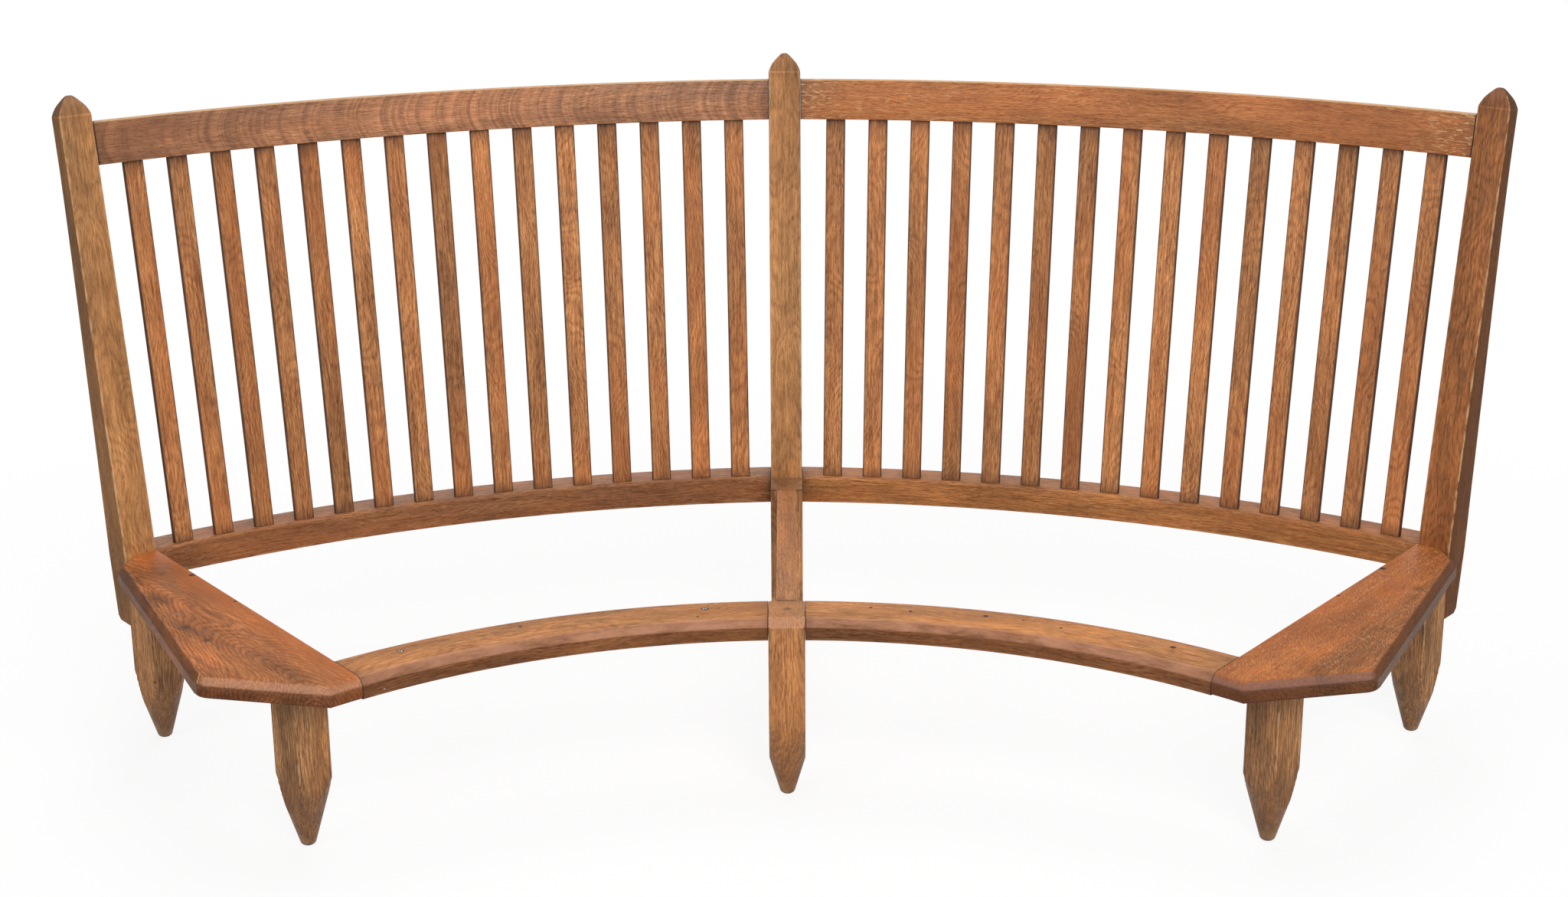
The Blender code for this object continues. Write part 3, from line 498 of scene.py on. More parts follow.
        # the front chamfer's tint is partly real hatched marks and partly a painted highlight
        hatch = self.noise(self.turned(self.grain, 0.6), (190.0, 900.0, 300.0), 1.0)
        front = self.times(self.span(self.times(self.normal["Y"], -1.0), 0.35, 0.6), slope)
        self.paint(front, self.span(hatch, 0.38, 0.62, 0.35, 0.75), tint)
        # painted shade on the outer chamfer
        outer = self.times(self.span(outward, 0.25, 0.5), slope)
        self.paint(outer, 0.75, SHADED_CHAMFER)
        # painted light: a pale strip on the outer side face below the chamfer, as if lit from the floor
        upright = self.below(self.maths("ABSOLUTE", self.facing), 0.1, 0.35)
        strip = self.times(self.span(outward, 0.62, 0.74), upright)
        strip = self.times(strip, self.span(self.along, 0.50, 0.62, 1.0, 0.1))
        self.paint(strip, self.span(self.cloud, 0.32, 0.5, 0.75, 0.97), FLOOR_LIGHT_STRIP)
        self.matt = self.maths("MAXIMUM", self.matt, outer)

    def wear_edges(self, size, wear, worn_face, arris, rim_shade):
        """Pale chipped edges, a dark line just in from them, and dark rims of painted shade along the side
        faces.
        """
        left = self.times(self.inverse(self.maths("ABSOLUTE", self.edge_x)), size[0])
        right = self.times(self.inverse(self.maths("ABSOLUTE", self.edge_y)), size[1])
        edge = self.plus(left, right)
        chips = self.noise(self.grain, (38.0, 120.0, 120.0), 3.0, 0.6)
        reach = self.span(chips, 0.36, 0.66, 0.0010, 0.0042)
        self.paint(self.below(self.maths("DIVIDE", edge, reach), 0.35, 1.0), wear, worn_face)
        if arris > 0.0:
            self.paint(self.hill(edge, 0.0022, 0.0026, 0.0030, 0.0046), arris, GRIME_AND_SHADE)
        # painted shade: dark rims along the side faces
        if rim_shade > 0.0:
            self.paint(self.below(left, 0.0006, 0.0026), rim_shade, GRIME_AND_SHADE)

    def soil_and_shade_joints(self, ends, seams):
        """Dirt and painted shade darkening the wood where a joint starts, and the dark line of the joint
        itself.
        """
        # dirt and painted shade near the joints
        dirt_and_shade = self.below(self.gap, 0.0, 0.034)
        dirt_and_shade = self.times(self.times(dirt_and_shade, dirt_and_shade), self.span(self.patch, 0.3, 0.7, 0.35, 1.3))
        self.paint(dirt_and_shade, ends, GRIME_AND_SHADE)
        self.paint(self.below(self.gap, 0.0006, 0.0017), seams, GRIME_AND_SHADE)

    def draw_spot(self, middle, size, soft, depth):
        off = self.add("VectorMath", {0: self.place, 1: middle}, operation="DISTANCE").outputs["Value"]
        off = self.plus(off, self.span(self.patch, 0.3, 0.7, -0.15 * size, 0.15 * size))
        self.paint(self.below(off, size * soft, size), depth, SPOT_AND_SHADOW_DARK)

    def draw_arc(self, middle, radius):
        """A thin orange mark on a board's corner, part of a narrow ring."""
        off = self.scaled(self.vector("SUBTRACT", self.place, middle), (1.0, 0.45, 0.0))
        parts = self.apart(off)
        length = self.add("VectorMath", {0: off}, operation="LENGTH").outputs["Value"]
        mark = self.below(self.maths("ABSOLUTE", self.maths("SUBTRACT", length, radius)), 0.0003, 0.0009)
        mark = self.times(mark, self.span(parts["X"], 0.0, 0.002))
        mark = self.times(mark, self.span(parts["Y"], 0.001, 0.003, 1.0, 0.0))
        self.paint(self.times(mark, self.span(self.facing, 0.35, 0.5)), 0.9, ORANGE_MARK)

    def age_and_shade_foot(self, strength):
        """Feet are grimy above, pale end grain at the tip, and carry a painted black contact shadow where
        they stand.
        """
        rise = self.plus(self.height, self.span(self.patch, 0.3, 0.7, -0.02, 0.02))
        self.paint(self.below(rise, 0.03, 0.13), strength, FOOT_GRIME)
        self.paint(self.below(rise, -0.004, 0.022), 0.45, END_GRAIN)
        # painted contact shadow at the very bottom of the foot
        self.paint(self.below(self.height, 0.0012, 0.0045), 0.85, FOOT_CONTACT_SHADOW)

    def finish(self, pores, rough, gloss):
        """Wax that is duller in patches, in pores and on the darker sides."""
        self.feed(self.shader["Base Color"], self.face)
        sheen = self.span(self.patch, 0.3, 0.7, rough - 0.07, rough + 0.10)
        sheen = self.plus(sheen, self.times(self.matt, 0.35))
        self.feed(self.shader["Roughness"], self.plus(sheen, self.times(pores, 0.15)))
        self.shader["Specular IOR Level"].default_value = gloss


def oak(name, deep, pale, warm, pith, lines, wear, ring=0.004, figure=0.006, arch=0.0, contrast=1.0,
        blotch=1.0, ripple=0.0, dashes=0.0, flecks=0.0, inner=None, flank_shade=(1.0, 1.0, 1.0), flank_start=0.72,
        sides=0.0, lip=0.0, lip_start=0.3, lip_highlight=LIP_HIGHLIGHT, top_light=0.0, nose=None, size=(0.015, 0.005),
        worn_face=PALE_WEAR, arris=0.0, rim_shade=0.0, ends=0.4, seams=0.85, spots=(), arc=None, foot=0.0,
        rough=0.45, gloss=0.3):
    """One timber's oak, from its three colours and the strength of each layer."""
    wood = Oak(name)
    pores = wood.draw_grain(deep, pale, warm, wood.growth(ring, pith, figure, arch), lines, contrast, arch)
    wood.shade(blotch, ripple)
    if inner is not None:
        wood.draw_inner(inner)
    if dashes > 0.0:
        wood.draw_dashes(dashes)
    if flecks > 0.0:
        wood.draw_flecks(flecks)
    wood.paint_side_shade(flank_shade, flank_start, sides)
    if lip > 0.0:
        # Painted highlight: a pale pinkish band along sloping faces, such as the front rail's nose and the
        # centre leg's top chamfer
        band = wood.hill(wood.facing, lip_start, lip_start + 0.14, 0.93, 0.99)
        wood.paint(wood.times(band, wood.span(wood.patch, 0.35, 0.6, 0.3, 1.0)), lip, lip_highlight)
    # Painted light: faces turned upward are painted paler
    if top_light > 0.0:
        wood.paint(wood.span(wood.facing, 0.35, 0.65), top_light, CREAM)
    if nose is not None:
        wood.draw_nose(nose)
    wood.wear_edges(size, wear, worn_face, arris, rim_shade)
    wood.soil_and_shade_joints(ends, seams)
    for middle, width, soft, depth in spots:
        wood.draw_spot(middle, width, soft, depth)
    if arc is not None:
        wood.draw_arc(*arc)
    if foot > 0.0:
        wood.age_and_shade_foot(foot)
    wood.finish(pores, rough, gloss)
    WOODS[name] = wood.owner


def spot(angle, radius, size, soft=0.6, depth=0.94, drop=0.0):
    """A dark spot near the seat's level, used for holes, a knot, stains and painted shadow in gaps."""
    return tuple(on_arc(math.radians(angle), radius, 0.0, SEAT - drop)), size, soft, depth


def make_woods():
    """One oak for each kind of timber, as its faces show in the photograph."""
    holes = [spot(angle, SCREW_RADIUS, SCREW_HOLE) for angle in SCREW_ANGLES]
    holes += [spot(angle, radius, size) for angle, radius, size in (
        (-23.2, 0.927, 0.0030), (-7.9, 0.895, 0.0028), (7.3, 0.925, 0.0035), (10.8, 0.919, 0.0030),
        (17.3, 0.925, 0.0046), (20.6, 0.925, 0.0026), (24.1, 0.917, 0.0026), (34.0, 0.924, 0.0054),
        (39.4, 0.918, 0.0030))]
    # The small spots on each board's inner edge, at radii 1.37 and 1.23, are painted shadow in the gaps
    # there
    left_marks = [spot(-40.9, 1.413, 0.060, 0.0, 0.55), spot(-42.7, 1.312, 0.040, 0.0, 0.5),
                  spot(-44.0, 1.189, 0.013, 0.1, 0.6), spot(-44.2, 1.126, 0.010, 0.1, 0.7),
                  spot(-39.15, 1.368, 0.0075, drop=0.003), spot(-39.2, 1.231, 0.0040, 0.4)]
    right_marks = [spot(39.1, 1.371, 0.0075, drop=0.003), spot(42.5, 1.33, 0.016, 0.1, 0.45),
                   spot(39.2, 1.231, 0.0040, 0.4)]
    knot = spot(0.1, 0.914, 0.0075, 0.2, 0.7)

    # The flank colours and sides strengths below are painted shade on faces turned away from the top and on
    # side faces
    oak("oak_post", rgb(136, 86, 48), rgb(218, 160, 102), rgb(186, 116, 60), ring=0.0045,
        pith=(0.05, 0.30), lines=0.2, contrast=0.85, wear=0.55, worn_face=rgb(228, 186, 140),
        size=(0.025, 0.022), sides=0.5, ends=0.35)
    oak("oak_post_right", rgb(102, 58, 27), rgb(190, 120, 66), rgb(166, 94, 42), ring=0.0045,
        pith=(0.05, 0.30), lines=0.25, contrast=0.95, wear=0.7, size=(0.025, 0.022), sides=0.6, ends=0.35)
    oak("oak_slat", rgb(124, 67, 33), rgb(222, 155, 97), rgb(200, 114, 57), ring=0.0034,
        pith=(0.03, 0.08), lines=0.24, wear=0.1, rim_shade=0.85, blotch=0.85, ends=0.68, seams=0.35)
    oak("oak_top_rail_left", rgb(136, 84, 54), rgb(200, 144, 106), rgb(182, 114, 72), ring=0.0036,
        pith=(0.02, 0.25), lines=0.08, contrast=0.9, ripple=0.25, wear=0.3, size=(0.032, 0.015),
        blotch=0.9, top_light=0.6)
    oak("oak_top_rail_right", rgb(126, 72, 38), rgb(202, 136, 84), rgb(184, 104, 52), ring=0.0036,
        pith=(0.02, 0.12), lines=0.16, dashes=0.6, wear=0.3, size=(0.032, 0.015), blotch=0.8, top_light=0.6)
    oak("oak_back_rail_left", rgb(112, 68, 42), rgb(200, 138, 92), rgb(180, 106, 58),
        pith=(0.06, 0.10), lines=0.14, contrast=0.85, dashes=0.3, wear=0.45, size=(0.028, 0.021),
        blotch=1.1, flank_shade=(0.80, 0.76, 0.74), flank_start=0.4)
    oak("oak_back_rail_right", rgb(120, 68, 34), rgb(206, 138, 80), rgb(186, 106, 50),
        pith=(0.06, 0.10), lines=0.14, contrast=0.85, dashes=0.2, wear=0.45, size=(0.028, 0.021))
    oak("oak_front_rail", rgb(150, 90, 46), rgb(222, 158, 100), rgb(208, 134, 68), ring=0.0050,
        pith=(0.02, 0.07), lines=0.20, contrast=0.95, wear=0.2, size=(0.038, 0.015),
        flank_shade=(0.385, 0.35, 0.39), flank_start=0.84, lip=0.68, lip_highlight=rgb(196, 142, 114), ends=0.3,
        spots=holes, gloss=0.22)
    oak("oak_board_left", rgb(116, 62, 32), rgb(198, 130, 78), rgb(190, 102, 44), ring=0.0052,
        pith=(-0.03, 0.035), figure=0.0040, arch=0.22, lines=0.95, wear=0.0, blotch=1.7,
        flank_shade=(0.50, 0.47, 0.50), flank_start=0.2, nose=rgb(196, 145, 116), inner=rgb(208, 116, 50),
        ends=0.0, spots=left_marks, arc=((-0.776, -0.438, 0.27), 0.0068), rough=0.42, gloss=0.22)
    oak("oak_board_right", rgb(110, 58, 27), rgb(194, 121, 64), rgb(190, 101, 42),
        pith=(0.10, 0.20), lines=0.12, contrast=0.9, flecks=0.45, wear=0.0, blotch=1.3,
        flank_shade=(0.33, 0.36, 0.50), flank_start=0.2, nose=rgb(127, 98, 91), inner=rgb(184, 102, 50),
        ends=0.0, spots=right_marks, rough=0.44, gloss=0.22)
    oak("oak_leg", rgb(112, 72, 45), rgb(222, 164, 110), rgb(178, 114, 64),
        pith=(0.05, 0.09), lines=0.3, contrast=1.1, wear=0.7, size=(0.0255, 0.033), arris=0.5, blotch=1.5,
        ends=0.25, foot=0.6)
    oak("oak_leg_centre", rgb(128, 78, 44), rgb(226, 160, 100), rgb(196, 118, 58),
        pith=(0.05, 0.09), lines=0.25, contrast=0.95, dashes=0.25, wear=0.4, size=(0.0255, 0.038),
        ends=0.25, foot=0.6, lip=0.75, lip_start=0.45, spots=[knot])
    oak("oak_stretcher", rgb(134, 84, 48), rgb(208, 148, 98), rgb(180, 110, 60),
        pith=(0.2, 0.05), lines=0.15, wear=0.3, size=(0.015, 0.022), ends=0.35)


def make_steel():
    """Bright worn steel with a dark slot across each head."""
    t = Tree(bpy.data.materials.new("screw_steel"))
    shader = t.nodes["Principled BSDF"].inputs
    section = t.add("Attribute", attribute_name="section").outputs["Vector"]
    speck = t.noise(section, (3.0, 9.0, 3.0), 3.0, 0.6)
    slot = t.below(t.maths("ABSOLUTE", t.apart(section)["X"]), 0.10, 0.22)
    face = t.mix(t.span(speck, 0.35, 0.65), rgb(120, 112, 100), rgb(214, 208, 196))
    t.feed(shader["Base Color"], t.mix(slot, face, rgb(40, 34, 30)))
    t.feed(shader["Roughness"], t.span(speck, 0.3, 0.7, 0.28, 0.5))
    shader["Metallic"].default_value = 1.0
    WOODS["steel"] = t.owner


def make_screws():
    """Two domed screw heads and a nail in the left front rail."""
    dome = ((1.0, -0.17), (1.0, 0.03), (0.9, 0.15), (0.65, 0.26), (0.3, 0.32))
    steps = 20
    slot_turn = 0.7
    turns = [slot_turn + 2.0 * math.pi * step / steps for step in range(steps)]
    nail = math.radians(NAIL_PLACE[0])
    inward = Vector((-math.sin(nail), -math.cos(nail), 0.0))
    level = [Vector(axis) for axis in ((1.0, 0.0, 0.0), (0.0, 1.0, 0.0), (0.0, 0.0, 1.0))]
    heads = [(f"screw_head_{index}", on_arc(math.radians(angle), SCREW_RADIUS, 0.0, SEAT), SCREW_HEAD, level)
             for index, angle in enumerate(SCREW_ANGLES, start=1)]
    heads.append(("nail_head", on_arc(nail, FRONT_RADIUS, 0.0, NAIL_PLACE[1]), NAIL_HEAD,
                  [inward.cross(level[2]), level[2], inward]))
    for name, middle, size, (u, v, n) in heads:
        rings = []
        for wide, rise in dome:
            flat = [(size * wide * math.cos(a), size * wide * math.sin(a)) for a in turns]
            rings.append(Ring([middle + u * x + v * y + n * (size * rise) for x, y in flat],
                              [(x, y, rise) for x, y in flat], [(x / size, y / size) for x, y in flat], 0.5))
        loft(name, rings, "steel")


# Timbers

def straight_bar(node, wood, place, length, outline, side, tone, shift, stations):
    """A straight timber; place takes (along, x, y) of the section to the row's frame."""
    edges = edges_of(outline)
    rings = []
    for step in range(stations):
        along = length * step / (stations - 1)
        grain = [(along, x, y) for x, y in outline]
        points = [place(along, x, y) for x, y in outline]
        rings.append(Ring(points, grain, edges, min(along, length - along)))
    dress(node, rings, wood, side, tone, shift)


def curved_bar(node, wood, centre, outline, span, side, tone, shift, fade=0.0, stations=49):
    """A timber turned along an arc; span gives both end angles for a radius, fade a darker far end."""
    edges = edges_of(outline)
    mean = sum(p[0] for p in outline) / len(outline)
    first, last = span(mean)
    length = mean * (last - first)
    fade_start = 0.6
    rings = []
    for step in range(stations):
        share = step / (stations - 1)
        along = length * share
        points, grain = [], []
        for radius, height in outline:
            start, end = span(radius)
            points.append(placed(*plan(start + (end - start) * share, radius, 0.0, centre), height, side))
            grain.append((along, radius - mean, height - SEAT))
        shade = fade * max(0.0, share - fade_start) / (1.0 - fade_start)
        rings.append(Ring(points, grain, edges, min(along, length - along), shade))
    dress(node, rings, wood, -side, tone, shift)


def back_span(radius):
    """End angles of a back rail at one radius, between the sides of two posts."""
    clear = 0.5 * POST_WIDTH + FIT
    start = math.asin((clear - HALF_CENTRE[0]) / radius)
    sin, cos = math.sin(END_ANGLE), math.cos(END_ANGLE)
    end = END_ANGLE + math.asin((-clear - HALF_CENTRE[0] * cos + HALF_CENTRE[1] * sin) / radius)
    return start, end


def front_span(radius):
    """End angles of a front rail, from the centre leg to the board's inner edge."""
    start = math.asin((0.5 * LEG_WIDTH + FIT) / radius)
    reach = SIDE_START.dot(SIDE_OUT) - BOARD_INNER_EDGE - FIT
    return start, SIDE_ANGLE + math.asin(reach / radius)


def make_top_rail(label, side, tone):
    """A raked rail between two posts, rounder along its top."""
    near, far = TOP_RAIL_SET_BACK, TOP_RAIL_SET_BACK + TOP_RAIL_THICKNESS - HAIR
    low, high = TOP_RAIL_START, TOP_RAIL_START + TOP_RAIL_HEIGHT
    flat = rounded_box(near, far, low, high, (0.0012, 0.0012, 0.0030, 0.0030))
    curved_bar(f"top_rail_{label}", f"oak_top_rail_{label}", HALF_CENTRE,
               [raked(HALF_RADIUS, y, z) for y, z in flat], back_span, side, tone, 3.0 + side, TOP_RAIL_FADE)


def make_back_rail(label, side, tone):
    """A level rail at the seat's height, softest along its upper front edge."""
    near = HALF_RADIUS + BACK_RAIL_SET_BACK
    outline = rounded_box(near, near + BACK_RAIL_DEPTH, SEAT - BACK_RAIL_HEIGHT, SEAT,
                          (0.0020, 0.0012, 0.0025, 0.0060), 4)
    curved_bar(f"back_rail_{label}", f"oak_back_rail_{label}", HALF_CENTRE, outline, back_span, side, tone,
               9.0 + side)


def make_front_rail(label, side, tone):
    """A flat rail whose upper front edge is a rounded chamfer."""
    near, far = FRONT_RADIUS, FRONT_RADIUS + FRONT_RAIL_DEPTH
    low, high = SEAT - FRONT_RAIL_HEIGHT, SEAT
    outline = [(near + 0.0012, low), (far - 0.0010, low), (far, low + 0.0010), (far, high - 0.0016),
               (far - 0.0005, high - 0.0005), (far - 0.0016, high)]
    outline += [(near + inward, high - down) for inward, down in (
        (0.0150, 0.0), (0.0122, 0.0006), (0.0092, 0.0022), (0.0050, 0.0052), (0.0018, 0.0092),
        (0.0005, 0.0125), (0.0, 0.0150))]
    outline.append((near, low + 0.0012))
    curved_bar(f"front_rail_{label}", "oak_front_rail", (0.0, 0.0), outline, front_span, side, tone,
               15.0 + side)


def slat_angles():
    """Equal gaps between the posts and the slats of one half."""
    post_half = 0.5 * POST_WIDTH / HALF_RADIUS
    turn = SLAT_WIDTH / HALF_RADIUS
    gap = (HALF_END - HALF_START - 2.0 * post_half - SLATS_PER_HALF * turn) / (SLATS_PER_HALF + 1)
    return [HALF_START + post_half + gap + 0.5 * turn + i * (gap + turn) for i in range(SLATS_PER_HALF)]


def make_slats():
    """Thirty raked slats, each with a tone of its own."""
    half = 0.5 * SLAT_WIDTH
    outline = rounded_box(-half, half, SLAT_SET_BACK, SLAT_SET_BACK + SLAT_THICKNESS, (SOFT_EDGE,) * 4)
    top = TOP_RAIL_START - FIT
    pick = random.Random(11)
    for index, angle in enumerate(slat_angles(), start=1):
        for label, side in SIDES:
            def place(along, x, y, angle=angle, side=side):
                low = (FIT + y * SIN) / COS
                radius, height = raked(HALF_RADIUS, y, low + (top - low) * along / top)
                return placed(*plan(angle, radius, x, HALF_CENTRE), height, side)

            straight_bar(f"slat_{label}_{index:02d}", "oak_slat", place, top, outline, side,
                         pick.uniform(*SLAT_TONES), 3.0 * index + side, 7)


def post_stations(lap, step):
    """Front and rear points of a post from its foot to its finial, and the scale of each section."""
    sweep = ((0.15, 0.80), (0.30, 0.625), (0.43, 0.47), (0.60, 0.255), (0.74, 0.10), (0.82, 0.035),
             (0.88, 0.0), (0.997, 0.0), (1.0, 0.0))
    taper = ((0.07, 0.975), (0.16, 0.93), (0.28, 0.855), (0.39, 0.775), (0.52, 0.645), (0.66, 0.475),
             (0.78, 0.320), (0.85, 0.215), (0.885, 0.12))
    foot = SEAT - POST_DROP
    above_foot = foot + POST_FOOT_CHAMFER
    rear_seat = raked(BACK_RADIUS, POST_SEAT_DEPTH, 0.0)
    rear_foot = rear_seat[0] - (rear_seat[1] - foot) * LEAN
    stations = [((lap, foot), (rear_foot - POST_FOOT_CHAMFER, foot), 1.0),
                ((lap, above_foot), (rear_foot + POST_FOOT_CHAMFER * LEAN, above_foot), 1.0)]
    if step < SEAT:
        rear_step = (rear_foot + (step - foot) * LEAN, step)
        stations += [((lap, step - 2.0 * HAIR), rear_step, 1.0), ((BACK_RADIUS, step), rear_step, 1.0)]
    stations.append(((BACK_RADIUS, SEAT), rear_seat, 1.0))
    for share, more in sweep:
        height = share * POST_SHOULDER
        depth = POST_TOP_DEPTH + more * (POST_SEAT_DEPTH - POST_TOP_DEPTH)
        stations.append((raked(BACK_RADIUS, 0.0, height), raked(BACK_RADIUS, depth, height), 1.0))
    middle = 0.5 * POST_TOP_DEPTH
    for share, scale in taper:
        height = POST_SHOULDER + share * FINIAL_HEIGHT
        stations.append((raked(BACK_RADIUS, middle * (1.0 - scale), height),
                         raked(BACK_RADIUS, middle * (1.0 + scale), height), scale))
    return stations


def make_posts():
    """Swept posts with worn pyramid finials; the end posts lap behind their legs."""
    half = 0.5 * POST_WIDTH
    shoulder = SEAT + POST_SHOULDER * COS
    end_lap, end_step = BACK_RADIUS - REAR_LEG_LAP_STEP, SEAT - BOARD_THICKNESS - FIT
    pick = random.Random(5)
    for label, wood, angle, lap, step, side, tone in (
            ("right", "oak_post_right", END_ANGLE, end_lap, end_step, 1.0, 0.0),
            ("left", "oak_post", END_ANGLE, end_lap, end_step, -1.0, 0.02),
            ("centre", "oak_post", 0.0, BACK_RADIUS - FIT, SEAT, 1.0, 0.02)):
        rings = []
        shift = pick.uniform(0.0, 5.0)
        for front, rear, scale in post_stations(lap, step):
            depth = math.dist(front, rear)
            rounding = max(0.0006, SOFT_EDGE * scale)
            flat = rounded_box(-half * scale, half * scale, 0.0, depth, (rounding,) * 4)
            points, grain = [], []
            for x, y in flat:
                share = y / depth
                out = front[0] + (rear[0] - front[0]) * share
                up = front[1] + (rear[1] - front[1]) * share
                points.append(on_arc(angle, out, x, up, side))
                grain.append((up, x, y))
            # A post darkens towards its top; the finial's shoulder is worn pale, and its head is darker
            rise = (front[1] - SEAT) / (shoulder - SEAT)
            shade = POST_TOP_TONE * max(0.0, 2.0 * rise - 1.0) if scale == 1.0 else FINIAL_TONE
            if scale == 1.0 and front[1] > shoulder - 6.0 * HAIR:
                shade = SHOULDER_TONE
            gap = CLEAN_GAP + max(0.0, shoulder - front[1])
            rings.append(Ring(points, grain, edges_of(flat), gap, shade))
        dress(f"post_{label}", rings, wood, side, tone, shift, 34.0)


def leg_outline(angles, half, deep, limit, front_cut):
    """Section of a leg: a rectangle with eased corners, inside a circle."""
    points = []
    for angle in angles:
        sin, cos = math.sin(angle), math.cos(angle)
        wide, long = max(abs(cos), 1e-9), max(abs(sin), 1e-9)
        reach = min(half / wide, deep / long, (half + deep - LEG_EDGE) / (wide + long), limit)
        points.append((reach * cos, max(reach * sin, -deep + front_cut)))
    return points


def make_legs():
    """Legs whose pencil points are cut by a cone, with its scallop on each face."""
    half = 0.5 * LEG_WIDTH
    corner_top = SEAT - BOARD_THICKNESS - FIT
    front_radius = FRONT_RADIUS + 0.5 * FRONT_RAIL_DEPTH
    rear_radius = BACK_RADIUS - 2.0 * FIT - 0.5 * REAR_CENTRE_DEPTH
    levels = [0.0, 0.0008, 0.0020, 0.0036] + [0.010 + 0.0032 * i for i in range(39)] + [0.16, 0.20, 0.23]
    tip = {0.0: 0.0058, 0.0008: 0.0078, 0.0020: 0.0092}
    # Name, place, side, tone and chamfer; a place is angle, radius, shift across, depth and top
    front = (FRONT_LEG_ANGLE, FRONT_LEG_RADIUS, 0.0, LEG_DEPTH, corner_top)
    rear = (END_ANGLE, REAR_LEG_RADIUS, REAR_LEG_SHIFT, LEG_DEPTH, corner_top)
    legs = (("front_centre", (0.0, front_radius, 0.0, FRONT_RAIL_DEPTH, SEAT), 1.0, 0.02,
             CENTRE_LEG_CHAMFER),
            ("rear_centre", (0.0, rear_radius, 0.0, REAR_CENTRE_DEPTH, SEAT), 1.0, 0.34, 0.0),
            ("front_right", front, 1.0, -0.12, 0.0), ("front_left", front, -1.0, 0.10, 0.0),
            ("rear_right", rear, 1.0, -0.05, 0.0), ("rear_left", rear, -1.0, 0.10, 0.0))
    for number, (label, place, side, tone, chamfer) in enumerate(legs):
        angle, radius, across, depth, top = place
        deep = 0.5 * depth
        exact = [math.atan2(deep - LEG_EDGE, half), math.atan2(deep, half - LEG_EDGE)]
        exact += [math.pi - a for a in exact] + [math.pi + a for a in exact]
        exact += [2.0 * math.pi - a for a in exact[:2]]
        angles = sorted([2.0 * math.pi * i / 80 for i in range(80)] + exact)
        heights = list(levels)
        if chamfer > 0.0:
            heights += [top - chamfer - 0.001, top - chamfer, top - chamfer + 0.001]
        heights = sorted(h for h in heights if h < top - 0.0015) + [top - LEG_TOP_EDGE, top]
        rings = []
        for height in heights:
            limit = tip.get(height, FOOT_TIP_RADIUS + FOOT_SLOPE * height)
            trim = 1.0 - LEG_TOP_EDGE / half if height == top else 1.0
            cut = max(0.0, height - (top - chamfer))
            flat = leg_outline(angles, half, deep, limit, cut)
            gap = CLEAN_GAP if height == top else top - LEG_TOP_EDGE - height
            if chamfer > 0.0:
                gap = max(gap, CLEAN_GAP)
            shade = LEG_TOP_TONE if height == top and label == "rear_centre" else 0.0
            points = [on_arc(angle, radius + y * trim, across + x * trim, height, side) for x, y in flat]
            rings.append(Ring(points, [(height, x, y) for x, y in flat],
                              [(x / half, y / deep) for x, y in flat], gap, shade))
        wood = "oak_leg_centre" if label == "front_centre" else "oak_leg"
        dress(f"leg_{label}", rings, wood, side, tone, 4.0 * number, 24.0)


def board_outline():
    """Plan points of the right end board beside its legs, and which sides are open edges."""
    def to_side(point):
        offset = Vector(point) - SIDE_START
        return Vector((offset.dot(SIDE_OUT), offset.dot(SIDE_ALONG)))

    inner = -BOARD_INNER_EDGE
    out = to_side(plan(END_ANGLE, BACK_RADIUS - FIT, 0.5 * POST_WIDTH))
    across = Vector((math.cos(END_ANGLE), -math.sin(END_ANGLE)))
    direction = Vector((across.dot(SIDE_OUT), across.dot(SIDE_ALONG)))
    points = [out + direction * ((inner - out.x) / direction.x)]

    # The front follows the front rail's arc, then turns to the outer corner
    centre = to_side((0.0, 0.0))
    joint = from_side(inner, centre.y + math.sqrt(FRONT_RADIUS ** 2 - (inner - centre.x) ** 2))
    joint_angle = math.atan2(joint.x, joint.y)
    arc_steps = 6
    for step in range(arc_steps + 1):
        angle = joint_angle + (BOARD_TURN_ANGLE - joint_angle) * step / arc_steps
        points.append(to_side(plan(angle, FRONT_RADIUS)))
    front = Vector(BOARD_FRONT_OUTER)
    rear = Vector((BOARD_BACK_OUTER[0], SIDE_RUN.length + BOARD_BACK_OUTER[1]))
    into, away = (points[-1] - front).normalized(), (rear - front).normalized()
    half = 0.5 * into.angle(away)
    middle = front + (into + away).normalized() * (BOARD_CORNER_RADIUS / math.sin(half))
    first = front + into * (BOARD_CORNER_RADIUS / math.tan(half)) - middle
    corner_steps = 12
    for step in range(corner_steps + 1):
        turned = first.copy()
        turned.rotate(Matrix.Rotation((math.pi - 2.0 * half) * step / corner_steps, 2))
        points.append(middle + turned)
    points += [rear, out]
    shut = {len(points) - 1, 0}
    return points, [index not in shut for index in range(len(points))]


def inset(points, open_sides, amount):
    """The outline with its open sides moved in; side i runs from point i to the next one."""
    lines = []
    for index, point in enumerate(points):
        along = (points[(index + 1) % len(points)] - point).normalized()
        normal = Vector((-along.y, along.x))
        lines.append((point + normal * (amount if open_sides[index] else 0.0), along))
    result = []
    for index in range(len(points)):
        (a, u), (b, v) = lines[index - 1], lines[index]
        cross = u.x * v.y - u.y * v.x
        if abs(cross) < 1e-6:
            result.append(b)
            continue
        offset = b - a
        result.append(a + u * ((offset.x * v.y - offset.y * v.x) / cross))
    return result


